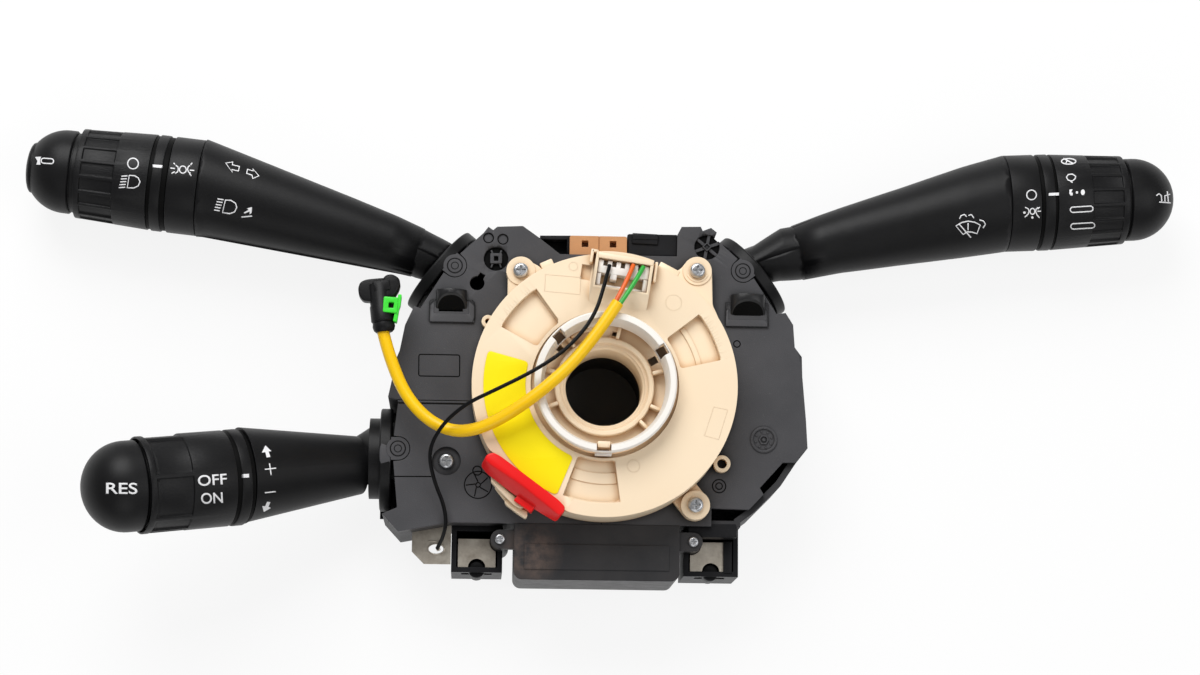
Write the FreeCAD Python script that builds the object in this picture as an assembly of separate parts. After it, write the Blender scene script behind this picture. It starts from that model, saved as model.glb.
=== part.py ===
import FreeCAD, Part
import math
import os
from FreeCAD import Placement, Rotation, Vector

os.makedirs("parts", exist_ok=True)

# Frame: the column axis is Z and points at the driver, +X is to the right, the back rests on z = 0
UP = Vector(0, 0, 1)

# Levels along the column axis
floor_thickness = 2.5
wall = 2.5
plate_top = 42.0
plate_thickness = 2.5
ear_height = 6.0
disc_top = 60.0
disc_plate = 3.0
hub_recess = 4.5
ring_height = 7.0

# Clearances
gap = 0.3
running = 0.05

# Clock spring
disc_radius = 51.5
disc_wall = 2.2
disc_skirt = 14.0
base_plate = 3.5
hub_bore = 15.0
hub_wall = 2.3
hub_ring_radius = 19.65
hub_tube_depth = 22.5
disc_opening = 28.7
hub_cup_wall = 2.3
hub_floor = 2.0
ring_radius = 27.75
ring_throat = 23.5
ring_spigot = 2.0
rib_width = 1.6
rib_angles = [-52, -28, 12, 79, 128, 165, 200, 245]
pocket_inner = 31.2
pocket_margin = 5.5
pocket_depth = 1.8
pocket_step = 0.7
pocket_spans = [(126.0, 151.5), (13.0, 38.0), (-110.0, -82.0)]
label_span = (163.0, 246.5)
label_thickness = 0.3
label_margin = 0.3
label_corner = 1.4
ear_radius = 5.7
ears = [(125.3, 5.6), (52.6, 8.7), (-51.1, 6.2)]
eyelets = [(149.7, 1.3, 2.5), (-31.1, 3.1, 3.3)]
eyelet_wall = 1.4

# Plug receptacle on the disc
plug_place = (6.2, 9.4)
plug_turn = -8.0
plug_opening = (20.2, 10.9)
plug_wall = 1.2
plug_rise = 5.5
plug_flange = 4.0
plug_slope = 4.6

# Transport lock
lock_angle = 232.0
lock_length = 37.0
lock_thickness = 4.3
lock_rise = 4.5
lock_drop = 8.0
clip_thickness = 1.2
clip_length = 18.0
clip_slit = 2.0
clip_bottom = 50.5
clip_top = 57.5

# Stalk pivots, as place, direction outward from the housing, half swing, axis height
collar_thickness = 4.8
collar_offset = 2.5
tongue_radius = 4.5
frame_reach = 8.0
frame_half_width = 11.0
frame_half_height = 14.0
cheek = 3.0
bar = 4.5
journal_radius = 4.0
pin_radius = 2.0
root_radius = 7.0
eye_width = 13.0
root_clearance = 1.6
neck_gap = 1.1

# Detent of each stalk
plunger_radius = 1.8
plunger_length = 6.0
plunger_proud = 2.5
detent_spring_length = 4.0
cam_thickness = 3.0

# Stalk end
spigot_radius = 11.0
stem_radius = 6.0
stem_length = 17.0
button_travel = 2.0
button_spring_length = 6.0
coil_steps = 8
knob_wall = 2.2
knob_web = 2.2
knob_recess = 3.8
rim_gap = 0.5
flute_depth = 0.75
flute_share = 0.78
flute_rim = 2.4
rim_lip = 1.0
dome_gap = 0.4
dome_skirt = 5.5
edge_break = 0.4

left = dict(
    name="left", pivot=(-59.0, 49.4), facing=140.7, height=20.5, collar=19.0, drop=2.2, swing=8.0,
    neck_start=(17.3, 2.8), neck_radius=9.3, arm_radius=9.95, turn=23.5, rise=0.0, arm_length=90.6,
    end_radius=19.4, knob_turn=33.3, ring_b=11.9, index=4.8, knob=30.4, knob_end_radius=18.0, flutes=18, pull=5.0,
)
right = dict(
    name="right", pivot=(55.1, 49.4), facing=40.1, height=20.5, collar=19.0, drop=-2.2, swing=8.0,
    neck_start=(24.0, -9.0), neck_radius=9.3, arm_radius=9.3, turn=-23.1, rise=0.0, arm_length=88.0,
    end_radius=19.6, knob_turn=-37.1, ring_b=11.9, index=4.8, knob=30.4, knob_end_radius=18.0, flutes=18, pull=5.0,
)
cruise = dict(
    name="cruise", pivot=(-79.8, -23.8), facing=180.0, height=21.5, collar=20.4, drop=2.0, swing=6.0,
    neck_start=(16.0, 4.2), neck_radius=11.0, arm_radius=11.3, turn=8.8, rise=22.0, arm_length=48.5,
    end_radius=18.6, knob_turn=8.8, ring_b=0.0, index=6.6, knob=34.6, knob_end_radius=18.0, flutes=13, pull=0.0,
)

# Housing outline, seen from the driver and going round to the left from the right stalk
right_shoulder = (72.1, 32.8)
top_right = [(44.7, 64.8), (42.4, 66.6), (39.1, 65.3), (38.3, 67.0), (30.7, 66.8), (29.0, 63.5), (28.9, 54.8)]
top_left = [(-17.5, 54.8), (-26.0, 61.4), (-32.4, 65.9), (-42.5, 65.4), (-44.1, 64.0), (-46.0, 65.3)]
left_side = [(-74.7, 32.8), (-78.1, 25.2), (-80.0, 14.9), (-81.0, 12.4), (-83.4, 0.0), (-84.1, -3.4)]
lower_left = [(-85.4, -49.4), (-79.0, -56.3), (-58.9, -52.4)]
lower_edge = -52.4
tub_right = [(54.5, -50.5), (60.0, -46.4), (70.3, -35.9), (76.3, -26.8)]
plate_right = [(42.9, -45.4), (57.7, -45.7), (63.4, -39.6), (61.9, -37.1), (71.0, -26.9), (76.0, -26.8)]
right_side = [(80.7, -21.2), (80.1, -9.9), (78.7, 7.2), (78.5, 15.2), (75.7, 19.0), (75.1, 28.0)]
cover_split = 0.0
cruise_split = -4.6

# Housing features
back_opening = [(-57.0, -41.0), (48.0, -41.0), (66.0, -24.0), (66.0, 20.0), (40.0, 38.0), (-40.0, 38.0), (-57.0, 25.0)]
back_fit = 0.1
column_bore = 16.2
sleeve_wall = 2.5
boss_radius = 3.6
screw_radius = 1.5
screw_head = 3.0
screw_head_height = 2.2
screw_reach = 11.0
small_screw_radius = 1.2
small_screw_head = 2.0
cruise_screw = (-60.8, -28.4)
counterbore_radius = 5.6
counterbore_depth = 1.3
box_floor = 2.0
box_wall = 2.0
terminal_depth = 30.0
left_box = (-58.3, -38.3, -70.6)
right_box = (33.0, 54.5, -71.0)
box_slot = (6.0, 12.0)
clip_inset = 2.6
clip_sheet = 0.8
clip_leg = 12.0
clip_notch = 3.4

# Bottom cover
cover_x = (-33.9, 30.5)
cover_y = -74.2
cover_wall = 2.2
cover_top = 42.2
cover_back = 1.0
cover_corner = 3.3
cover_ear_height = 4.5
cover_ear_top = 40.5
cover_ears = [(-39.4, -58.5), (36.0, -58.5)]
cover_ear_radius = 3.7
board_level = 16.0
board_thickness = 1.6
ledge = 1.5
socket_size = (34.0, 11.0)
socket_wall = 1.2
socket_place = (-1.7, -63.5)
pin_pitch = 5.0
pin_count = 6
pin_width = 1.0
pin_proud = 1.0
pin_recess = 5.0

# Connectors at the upper edge
brown_x = (-13.7, 9.0)
brown_y = (54.8, 62.6)
brown_z = (22.0, 41.0)
brown_hole = 2.6
brown_holes = [(-7.6, 59.4), (3.5, 59.4)]
block_x = (9.3, 28.9)
block_y = 63.7
block_z = 20.0
tab_x = (11.3, 21.3)
tab_y = (61.4, 63.2)
tab_height = 1.0

# Ground plate
ground_x = (-73.8, -58.5)
ground_y = -67.6
ground_z = 29.2
ground_sheet = 0.8
ground_chamfer = 4.8
ground_hole = (-64.3, -61.7)
ground_hole_radius = 1.9
ground_tongue = 3.0

# Leads: the route points are the corners, and the runs between them meet in tangent arcs
lead_diameter = 4.8
lead_route = [
    (4.2, 30.4, 70.0), (-8.3, 10.7, 71.0), (-28.0, -7.8, 71.0), (-47.9, -19.5, 64.5),
    (-62.4, -18.9, 58.5), (-76.0, -7.4, 56.0), (-84.4, 12.2, 54.5), (-86.9, 23.0, 54.5),
]
wire_diameter = 1.5
ground_route = [
    (1.1, 46.0, 65.1), (-1.2, 36.5, 70.5), (-5.0, 24.0, 73.5), (-14.5, 11.8, 74.0), (-27.0, 3.0, 74.0),
    (-42.0, -4.6, 72.5), (-53.5, -9.8, 69.5), (-62.6, -17.6, 66.5), (-67.8, -26.5, 57.0),
    (-65.5, -37.0, 49.0), (-60.8, -47.5, 47.0), (-60.4, -56.5, 42.5), (-63.8, -61.5, 31.5),
]
thin_diameter = 1.3
orange_route = [(10.3, 46.3, 64.8), (7.9, 39.5, 69.0), (3.4, 31.0, 70.0)]
green_route = [(14.2, 45.6, 65.0), (10.8, 38.6, 69.0), (5.1, 30.1, 70.0)]

# Air-bag connector at the end of the lead
squib_centre = (-87.3, 33.0, 54.5)
squib_turn = 7.0
squib_width = 8.2
squib_depth = 8.0
squib_length = 18.5
wing_reach = 9.0
wing_length = 10.5
nose_radius = 3.4
sleeve_length = 5.0
lock_square = 7.0
lock_window = 2.9

# Derived levels
plate_bottom = plate_top - plate_thickness
ear_top = plate_top + ear_height
base_top = plate_top + base_plate
hub_top = disc_top - hub_recess
hub_floor_top = hub_top - 3.5
hub_bottom = hub_top - hub_tube_depth
pocket_outer = disc_radius - pocket_margin
plug_centre = (plug_place[0], disc_radius - plug_place[1])
ring_top = disc_top + ring_height
skirt_bottom = disc_top - disc_skirt
hub_tube = hub_bore + hub_wall
sleeve_bore = hub_tube + running
sleeve_radius = sleeve_bore + sleeve_wall
cup_inner = disc_opening - hub_cup_wall


def polar(radius, angle):
    return (radius * math.cos(math.radians(angle)), radius * math.sin(math.radians(angle)))


ear_places = [polar(disc_radius + outset, angle) for angle, outset in ears]
eyelet_places = [(*polar(disc_radius + outset, angle), radius) for angle, outset, radius in eyelets]


def box(x, y, z):
    """A box between pairs of limits."""
    size = [side[1] - side[0] for side in (x, y, z)]
    return Part.makeBox(*size, Vector(x[0], y[0], z[0]))


def post(radius, z, place=(0, 0)):
    """An upright cylinder between two levels."""
    return Part.makeCylinder(radius, z[1] - z[0], Vector(place[0], place[1], z[0]))


def tube(outer, inner, z, place=(0, 0)):
    return post(outer, z, place).cut(post(inner, z, place))


def joined(shapes):
    """All shapes as one solid, with the seams between flush faces taken out."""
    whole = shapes[0]
    for piece in shapes[1:]:
        whole = whole.fuse(piece)
    return whole.removeSplitter()


def without(shape, cutters):
    for cutter in cutters:
        shape = shape.cut(cutter)
    return shape


def prism(points, z):
    """An upright prism over a polygon."""
    corners = [Vector(x, y, z[0]) for x, y in points]
    wire = Part.makePolygon(corners + corners[:1])
    return Part.Face(wire).extrude(Vector(0, 0, z[1] - z[0]))


def turned(profile):
    """A solid of revolution about Z from a closed (radius, level) profile."""
    corners = [Vector(r, 0, z) for r, z in profile]
    wire = Part.makePolygon(corners + corners[:1])
    return Part.Face(wire).revolve(Vector(), UP, 360)


def sector(inner, outer, span, z):
    """A part of a ring between two angles."""
    start = math.radians(span[0])
    along = Vector(math.cos(start), math.sin(start), 0)
    low, high = Vector(0, 0, z[0]), Vector(0, 0, z[1])
    corners = [along * inner + low, along * outer + low, along * outer + high, along * inner + high]
    wire = Part.makePolygon(corners + corners[:1])
    return Part.Face(wire).revolve(Vector(), UP, span[1] - span[0])


def moved(shape, place, turn=0.0):
    copy = shape.copy()
    copy.Placement = Placement(Vector(*place), Rotation(UP, turn)).multiply(copy.Placement)
    return copy


def aimed(shape, start, direction):
    """A shape built along Z, laid along a direction from a start point."""
    copy = shape.copy()
    copy.Placement = Placement(start, Rotation(UP, direction)).multiply(copy.Placement)
    return copy


def uprightEdges(shape, places, reach):
    """The upright edges of a shape that stand near the given places."""
    found = []
    for edge in shape.Edges:
        ends = [v.Point for v in edge.Vertexes]
        if len(ends) == 2 and (ends[0] - ends[1]).cross(UP).Length < 1e-6:
            if any(math.hypot(ends[0].x - x, ends[0].y - y) < reach for x, y in places):
                found.append(edge)
    return found


def cord(route, diameter):
    """A round tube along straight runs and tangent arcs."""
    points = [Vector(*p) for p in route]
    edges, at = [], points[0]
    for before, corner, after in zip(points, points[1:], points[2:]):
        back, on = (before - corner), (after - corner)
        turn = math.pi - back.getAngle(on)
        trim = 0.45 * min(back.Length, on.Length)
        radius = trim / math.tan(turn / 2)
        back.normalize()
        on.normalize()
        start, end = corner + back * trim, corner + on * trim
        inward = (back + on).normalize()
        middle = corner + inward * (radius / math.cos(turn / 2) - radius)
        edges.append(Part.LineSegment(at, start).toShape())
        edges.append(Part.Arc(start, middle, end).toShape())
        at = end
    edges.append(Part.LineSegment(at, points[-1]).toShape())
    spine = Part.Wire(edges)
    facing = points[1] - points[0]
    section = Part.Wire(Part.Circle(points[0], facing, diameter / 2).toShape())
    return spine.makePipeShell([section], True, False)


def coil(radius, wire, length, turns):
    """A round-wire compression spring along Z, as short runs joined by arcs."""
    middle, steps = radius - wire / 2, turns * coil_steps
    points = []
    for step in range(steps + 1):
        angle = 2 * math.pi * step / coil_steps
        level = wire / 2 + (length - wire) * step / steps
        points.append((middle * math.cos(angle), middle * math.sin(angle), level))
    return cord(points, wire)


def save(name, shape):
    shape.exportStep(f"parts/{name}.step")


def localToWorld(stalk, x, y):
    """A place in a stalk's own axes, as a place in the housing's."""
    facing = math.radians(stalk["facing"])
    px, py = stalk["pivot"]
    return (px + x * math.cos(facing) - y * math.sin(facing), py + x * math.sin(facing) + y * math.cos(facing))


def housed(stalk, shape):
    """A shape in a stalk's own axes, set into the housing."""
    return moved(shape, (*stalk["pivot"], 0), stalk["facing"])


def edgePoints(stalk):
    """The housing's edge behind a collar, falling away to both sides so that the collar can swing."""
    swing = math.sin(math.radians(stalk["swing"]))
    low = stalk["drop"] - stalk["collar"]
    high = stalk["drop"] + stalk["collar"]
    reach = [(collar_offset - abs(y) * swing - gap, y * 1.03) for y in (low, high)]
    ends = [localToWorld(stalk, *p) for p in reach]
    return ends[0], localToWorld(stalk, collar_offset - gap, 0), ends[1]


def outline(right_corner, z):
    """The housing's outline as a wire, with the chosen corner at the lower right, and the height to give it."""
    chains = [
        [*right_corner, *right_side, right_shoulder], right, top_right + top_left, left, left_side, cruise,
        lower_left,
    ]
    level = z[0]
    edges, at = [], None
    for chain in chains:
        if isinstance(chain, dict):
            first, middle, last = [Vector(*p, level) for p in edgePoints(chain)]
            for start, end in ((at, first), (first, middle), (middle, last)):
                edges.append(Part.LineSegment(start, end).toShape())
            at = last
        else:
            for x, y in chain:
                point = Vector(x, y, level)
                if at is None:
                    opening = point
                else:
                    edges.append(Part.LineSegment(at, point).toShape())
                at = point
    edges.append(Part.LineSegment(at, opening).toShape())
    return Part.Wire(edges), z[1] - z[0]


def slab(right_corner, z, inset=0.0):
    wire, height = outline(right_corner, z)
    if inset:
        wire = wire.makeOffset2D(-inset, 1)
    return Part.Face(wire).extrude(Vector(0, 0, height))


def stalkWindows(z, half_width):
    """The openings in the wall that the stalk yokes reach through."""
    windows = []
    for stalk in (left, right, cruise):
        windows.append(housed(stalk, box((-frame_reach, 6.0), (-half_width, half_width), z)))
    return windows


def makeHousing():
    z = (0, plate_bottom)
    lower = [(54.5, lower_edge), *tub_right]
    tub = slab(lower, z).cut(slab(lower, (floor_thickness, plate_bottom + 1), wall))
    tub = without(tub, [*stalkWindows((floor_thickness, plate_bottom + 1), frame_half_width + 1.5),
                        prism(back_opening, (-1, floor_thickness + 1))])
    extras = [post(boss_radius, z, p) for p in [*ear_places, cruise_screw]]
    extras.append(box(block_x, (brown_y[0] - wall, block_y), (block_z, plate_bottom)))
    for stalk in (left, right, cruise):
        socket = post(journal_radius + wall, (0, floor_thickness + 3.7))
        socket = socket.cut(box((journal_radius - wall - gap, 20), (-20, 20), (0, 20)))
        cam_x = (-frame_reach - plunger_proud - gap - cam_thickness, -frame_reach - plunger_proud - gap)
        cam = box(cam_x, (-5, 5), (0, 2 * bar + 2.5)).cut(plungerAt(stalk, cam_x[1], plunger_radius + 1))
        extras += [housed(stalk, socket), housed(stalk, cam)]
    screw_bottom = ear_top - screw_reach - ear_height
    cuts = [post(screw_radius, (screw_bottom, plate_top), p) for p in ear_places]
    cuts.append(post(screw_radius, (plate_top - counterbore_depth - screw_reach, plate_top), cruise_screw))
    cuts += [housed(s, post(journal_radius + running, (floor_thickness, 12))) for s in (left, right, cruise)]
    cuts.append(groundPlate(ground_tongue))
    save("housing", without(joined([tub] + extras), cuts))

    plate = prism(back_opening, (0, floor_thickness)).cut(edgeStrip(back_opening))
    plate = joined([plate, post(sleeve_radius, z)])
    save("back_plate", without(plate, [post(column_bore, (-1, plate_top)),
                                       post(sleeve_bore, (hub_bottom - gap, plate_top))]))


def edgeStrip(points):
    """The thin band that keeps the back plate clear of the housing round it."""
    z = (-1, floor_thickness + 1)
    corners = [Vector(x, y, z[0]) for x, y in points]
    inner = Part.makePolygon(corners + corners[:1]).makeOffset2D(-back_fit, 2)
    return prism(points, z).cut(Part.Face(inner).extrude(Vector(0, 0, z[1] - z[0])))


def makeTerminalBoxes():
    """The open boxes for the terminals, each with the post that takes a screw of the bottom cover."""
    for name, (x0, x1, y0), ear in zip(("left", "right"), (left_box, right_box), cover_ears):
        outer = box((x0, x1), (y0, lower_edge), (0, terminal_depth))
        hollow_y = (y0 + box_wall, lower_edge - box_wall)
        inner = box((x0 + box_wall, x1 - box_wall), hollow_y, (box_floor, terminal_depth + 1))
        middle = (x0 + x1) / 2
        slot = box((middle - box_slot[1] / 2, middle + box_slot[1] / 2), (y0 - 1, y0 + box_wall + 1),
                   (terminal_depth - box_slot[0] - 4, terminal_depth - 4))
        shell = joined([without(outer, [inner, slot]),
                        post(cover_ear_radius, (0, cover_ear_top - cover_ear_height), ear)])
        hole = post(small_screw_radius, (cover_ear_top - screw_reach, plate_top), ear)
        save(f"{name}_terminal_box", shell.cut(hole))


def plungerAt(stalk, x, radius, length=plunger_length):
    """A rod along a stalk's own X at the height of its detent."""
    return Part.makeCylinder(radius, length, Vector(x, 0, detentHeight(stalk)), Vector(1, 0, 0))


def detentHeight(stalk):
    return stalk["height"] - frame_half_height + bar / 2


def hood(x, y, base_x, base_y):
    """A chamfered pad with a small scoop that opens toward the lower edge."""
    cut = 2.5
    pad = prism([
        (base_x[0], base_y[0]), (base_x[1], base_y[0]), (base_x[1], base_y[1] - cut),
        (base_x[1] - cut, base_y[1]), (base_x[0] + cut, base_y[1]), (base_x[0], base_y[1] - cut),
    ], (plate_top, plate_top + 0.8))
    side = [(y[0], plate_top), (y[1], plate_top), (y[1], plate_top + 4.0), (y[1] - 0.8, plate_top + 4.6),
            (y[1] - 3.2, plate_top + 4.6), (y[0], plate_top + 1.2)]
    corners = [Vector(x[0], b, c) for b, c in side]
    shell = Part.Face(Part.makePolygon(corners + corners[:1])).extrude(Vector(x[1] - x[0], 0, 0))
    tops = [e for e in shell.Edges if abs(e.CenterOfMass.x - (x[0] + x[1]) / 2) > 1 and
            min(v.Point.z for v in e.Vertexes) > plate_top + 1.1]
    shell = shell.makeFillet(1.6, [e for e in tops if min(v.Point.z for v in e.Vertexes) > plate_top + 4.5])
    mouth = box((x[0] + 1.2, x[1] - 1.2), (y[0] - 0.1, y[1] - 1.6), (plate_bottom - 1, plate_top + 3.6))
    return joined([pad, shell]), mouth


def makeCovers():
    z = (plate_bottom, plate_top)
    upper = [(42.9, lower_edge), *plate_right]
    plate = slab(upper, z)
    plate = plate.cut(post(hub_tube + 1.0, (0, ear_top)))
    for stalk in (left, right, cruise):
        slot = [post(tongue_radius + gap, z), box((0, 8), (-tongue_radius - gap, tongue_radius + gap), z)]
        swing = math.radians(stalk["swing"])
        flare = tongue_radius + gap + 6 * math.sin(swing)
        slot.append(prism([(0, -tongue_radius - gap), (6, -flare), (6, flare), (0, tongue_radius + gap)], z))
        plate = plate.cut(housed(stalk, joined(slot)))
    far = 150.0
    left_zone = box((-far, cover_split - 0.15), (cruise_split + 0.15, far), (0, far))
    cruise_zone = box((-far, cover_split - 0.15), (-far, cruise_split - 0.15), (0, far))
    right_zone = box((cover_split + 0.15, far), (-far, far), (0, far))
    screw_holes = [post(screw_radius, (0, ear_top), p) for p in ear_places]

    cover = plate.common(left_zone)
    left_hood, left_mouth = hood((-66.2, -54.3), (30.9, 39.6), (-68.5, -51.0), (26.5, 35.4))
    cover = joined([cover, left_hood])
    keyhole = [post(2.9, (0, far), (-50.1, 42.5)), moved(box((0, 4.4), (-1.2, 1.2), (0, far)), (-50.1, 42.5, 0), 60)]
    recess = [post(4.9, (plate_top - 1.7, far), (-42.8, 52.5)),
              box((-44.0, -41.6), (51.3, 53.7), (plate_bottom - 1, far))]
    marks = [post(1.9, (plate_top - 0.3, far), p) for p in [(-45.9, 61.0), (-40.3, 60.5)]]
    cover = without(cover, [left_mouth, *keyhole, *recess, *marks, *screw_holes])
    save("left_module_cover", cover)

    cover = plate.common(right_zone)
    right_hood, right_mouth = hood((50.5, 63.4), (31.4, 39.4), (48.2, 64.8), (26.9, 35.2))
    boss = tube(5.2, 4.2, (plate_top - 0.1, plate_top + 0.5), (63.4, -18.0))
    cover = joined([cover, right_hood, boss])
    recess = [post(5.1, (plate_top - 1.7, far), (40.8, 58.8))]
    spokes = [moved(box((-5.1, 5.1), (-0.6, 0.6), (plate_bottom, plate_top - 0.6)), (40.8, 58.8, 0), a)
              for a in (20, 80, 140)]
    cover = without(cover, [right_mouth, *recess])
    cover = without(joined([cover, *[s.common(post(5.2, z, (40.8, 58.8))) for s in spokes]]), screw_holes)
    save("right_module_cover", cover)

    cover = plate.common(cruise_zone)
    counterbore = post(counterbore_radius, (plate_top - counterbore_depth, far), cruise_screw)
    hole = post(screw_radius, (0, far), cruise_screw)
    lip = box((-82.0, -52.5), (cruise_split - 1.6, cruise_split - 0.9), (plate_top - 0.6, far))
    save("cruise_module_cover", without(cover, [counterbore, hole, lip]))


def makeBottomCover():
    shell = box(cover_x, (cover_y, lower_edge), (cover_back, cover_top))
    corners = [(cover_x[0], cover_y), (cover_x[1], cover_y)]
    shell = shell.makeFillet(cover_corner, uprightEdges(shell, corners, 0.1))
    inside_x = (cover_x[0] + cover_wall, cover_x[1] - cover_wall)
    inside_y = (cover_y + cover_wall, lower_edge + 1)
    shell = shell.cut(box(inside_x, inside_y, (cover_back - 1, cover_top - cover_wall)))
    step = box((cover_x[0] + 4, cover_x[1] - 4), (cover_y + 4, lower_edge - 8), (cover_top - 0.1, cover_top + 0.4))
    pieces = [shell, step]
    ledge_z = (board_level + board_thickness, board_level + board_thickness + 1.5)
    pieces.append(box((inside_x[0] - 0.5, inside_x[0] + ledge), (inside_y[0] - 0.5, lower_edge - 3), ledge_z))
    pieces.append(box((inside_x[1] - ledge, inside_x[1] + 0.5), (inside_y[0] - 0.5, lower_edge - 3), ledge_z))
    ear_z = (cover_ear_top - cover_ear_height, cover_ear_top)
    for (x, y), side in zip(cover_ears, cover_x):
        inner = side + (1 if x < side else -1)
        arm = box((min(x, inner), max(x, inner)), (y - cover_ear_radius, y + cover_ear_radius), ear_z)
        pieces += [arm, post(cover_ear_radius, ear_z, (x, y))]
    cover = joined(pieces)
    holes = [post(small_screw_radius, (0, cover_top + 5), p) for p in cover_ears]
    save("bottom_cover", without(cover, holes))

    board_y = (cover_y + cover_wall + gap, lower_edge - 3)
    board_z = (board_level, board_level + board_thickness)
    board = box((inside_x[0] + gap, inside_x[1] - gap), board_y, board_z)
    x, y = socket_place
    half = (socket_size[0] / 2, socket_size[1] / 2)
    socket_z = (cover_back + 0.2, board_level)
    socket = box((x - half[0], x + half[0]), (y - half[1], y + half[1]), socket_z)
    inner = box((x - half[0] + socket_wall, x + half[0] - socket_wall),
                (y - half[1] + socket_wall, y + half[1] - socket_wall), (0, board_level - 1.5))
    start = x - pin_pitch * (pin_count - 1) / 2
    pins = []
    for row in (-2.2, 2.2):
        for number in range(pin_count):
            place = start + number * pin_pitch
            square = (place - pin_width / 2, place + pin_width / 2)
            depth = (y + row - pin_width / 2, y + row + pin_width / 2)
            pins.append(box(square, depth, (cover_back + pin_recess, board_z[1] + pin_proud)))
    save("rear_connector_socket", without(socket, [inner, *pins]))
    save("circuit_board", without(board, pins))
    save("connector_pins", Part.makeCompound(pins))


def groundPlate(tongue):
    """The earth plate, with the tongue that sits in the housing's wall."""
    x, y = ground_x, (ground_y, lower_edge + tongue)
    z = (ground_z, ground_z + ground_sheet)
    return prism([(x[0], y[1]), (x[0], y[0] + ground_chamfer), (x[0] + ground_chamfer, y[0]),
                  (x[1], y[0]), (x[1], y[1])], z)


def makeSmallMetal():
    plate = groundPlate(ground_tongue)
    x, y = ground_hole
    z = (0, plate_top)
    oval = joined([post(ground_hole_radius, z, (x - 1, y)), post(ground_hole_radius, z, (x + 1, y)),
                   box((x - 1, x + 1), (y - ground_hole_radius, y + ground_hole_radius), z)])
    save("ground_plate", plate.cut(oval))

    clips = []
    for (x0, x1, y0), ear in zip((left_box, right_box), cover_ears):
        span_x = (x0 + clip_inset, x1 - clip_inset)
        span_y = (y0 + box_wall, lower_edge - box_wall - 3)
        top = (terminal_depth - 1.6, terminal_depth - 1.6 + clip_sheet)
        sheet = box(span_x, span_y, top)
        leg = box(span_x, (span_y[1] - clip_sheet, span_y[1]), (top[0] - clip_leg, top[1]))
        notch = post(clip_notch, z, ((span_x[0] + span_x[1]) / 2, span_y[0]))
        clips.append(without(joined([sheet, leg]), [notch, post(cover_ear_radius + gap, z, ear)]))
    save("terminal_clips", Part.makeCompound(clips))


def makeColumnConnector():
    block = box(brown_x, brown_y, brown_z)
    block = block.makeFillet(0.8, uprightEdges(block, [(brown_x[0], brown_y[1]), (brown_x[1], brown_y[1])], 0.1))
    half = brown_hole / 2
    cuts = [box((x - half, x + half), (y - half, y + half), (brown_z[1] - 6, 50)) for x, y in brown_holes]
    middle = (brown_holes[0][0] + brown_holes[1][0]) / 2
    cuts.append(box((middle - 0.25, middle + 0.25), brown_y, (brown_z[1] - 0.5, 50)))
    cuts.append(box((brown_x[0] + 1.5, brown_x[1] - 1.5), (brown_y[0] + 1.5, brown_y[1] - 1.5),
                    (brown_z[0] - 1, brown_z[0] + 9)))
    save("column_connector", without(block, cuts))
    save("connector_lid", joined([
        box((block_x[0] + gap, block_x[1]), (brown_y[0] + gap, block_y), (plate_bottom, plate_top - 1.0)),
        box(tab_x, tab_y, (plate_top - 1.1, plate_top - 1.0 + tab_height)),
    ]))


def crossScrew(place, seat, reach, radius, head, height):
    """A pan-head screw with a cross recess."""
    x, y = place
    shank = post(radius, (seat - reach, seat), place)
    cap = post(head, (seat, seat + height), place)
    cap = cap.makeFillet(height * 0.55, [e for e in cap.Edges if e.CenterOfMass.z > seat + height - 0.01])
    arm, blade = head * 0.62, head * 0.14
    slots = [box((x - arm, x + arm), (y - blade, y + blade), (seat + height * 0.4, seat + height + 1)),
             box((x - blade, x + blade), (y - arm, y + arm), (seat + height * 0.4, seat + height + 1))]
    return without(shank.fuse(cap), slots)


def makeScrews():
    sizes = (screw_reach + ear_height, screw_radius, screw_head, screw_head_height)
    save("clockspring_screws", Part.makeCompound([crossScrew(p, ear_top, *sizes) for p in ear_places]))
    cover = [crossScrew(cruise_screw, plate_top - counterbore_depth, screw_reach, screw_radius, screw_head,
                        screw_head_height)]
    for p in cover_ears:
        cover.append(crossScrew(p, cover_ear_top, screw_reach, small_screw_radius, small_screw_head, 1.5))
    save("cover_screws", Part.makeCompound(cover))


def makeClockSpringBase():
    plate = post(disc_radius, (plate_top, base_top))
    pieces = [plate]
    for x, y in ear_places:
        away = math.hypot(x, y)
        angle = math.degrees(math.atan2(y, x))
        web = moved(box((disc_radius - 6, away), (-ear_radius, ear_radius), (plate_top, base_top)), (0, 0, 0), angle)
        pad = tube(away + ear_radius + 1, disc_radius + 0.4, (plate_top, ear_top))
        pieces += [web, post(ear_radius, (plate_top, ear_top), (x, y)).common(pad)]
        pieces.append(post(ear_radius, (plate_top, base_top), (x, y)))
    for x, y, radius in eyelet_places:
        web = box((disc_radius - 3, math.hypot(x, y)), (-eyelet_wall, eyelet_wall), (plate_top, base_top))
        pieces += [moved(web, (0, 0, 0), math.degrees(math.atan2(y, x))), post(radius, (plate_top, base_top), (x, y))]
    base = joined(pieces)
    guide_z = (base_top - 0.1, skirt_bottom + 4)
    guide = tube(disc_radius - disc_wall - 0.6, disc_radius - disc_wall - 2.2, guide_z)
    base = joined([base, guide])
    cuts = [post(hub_tube + 0.6, (0, 99))] + [post(screw_radius, (0, 99), p) for p in ear_places]
    cuts += [post(radius - eyelet_wall, (0, 99), (x, y)) for x, y, radius in eyelet_places]
    save("clockspring_base", without(base, cuts))


def plugFrame(shape):
    return moved(shape, (*plug_centre, 0), plug_turn)


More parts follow.
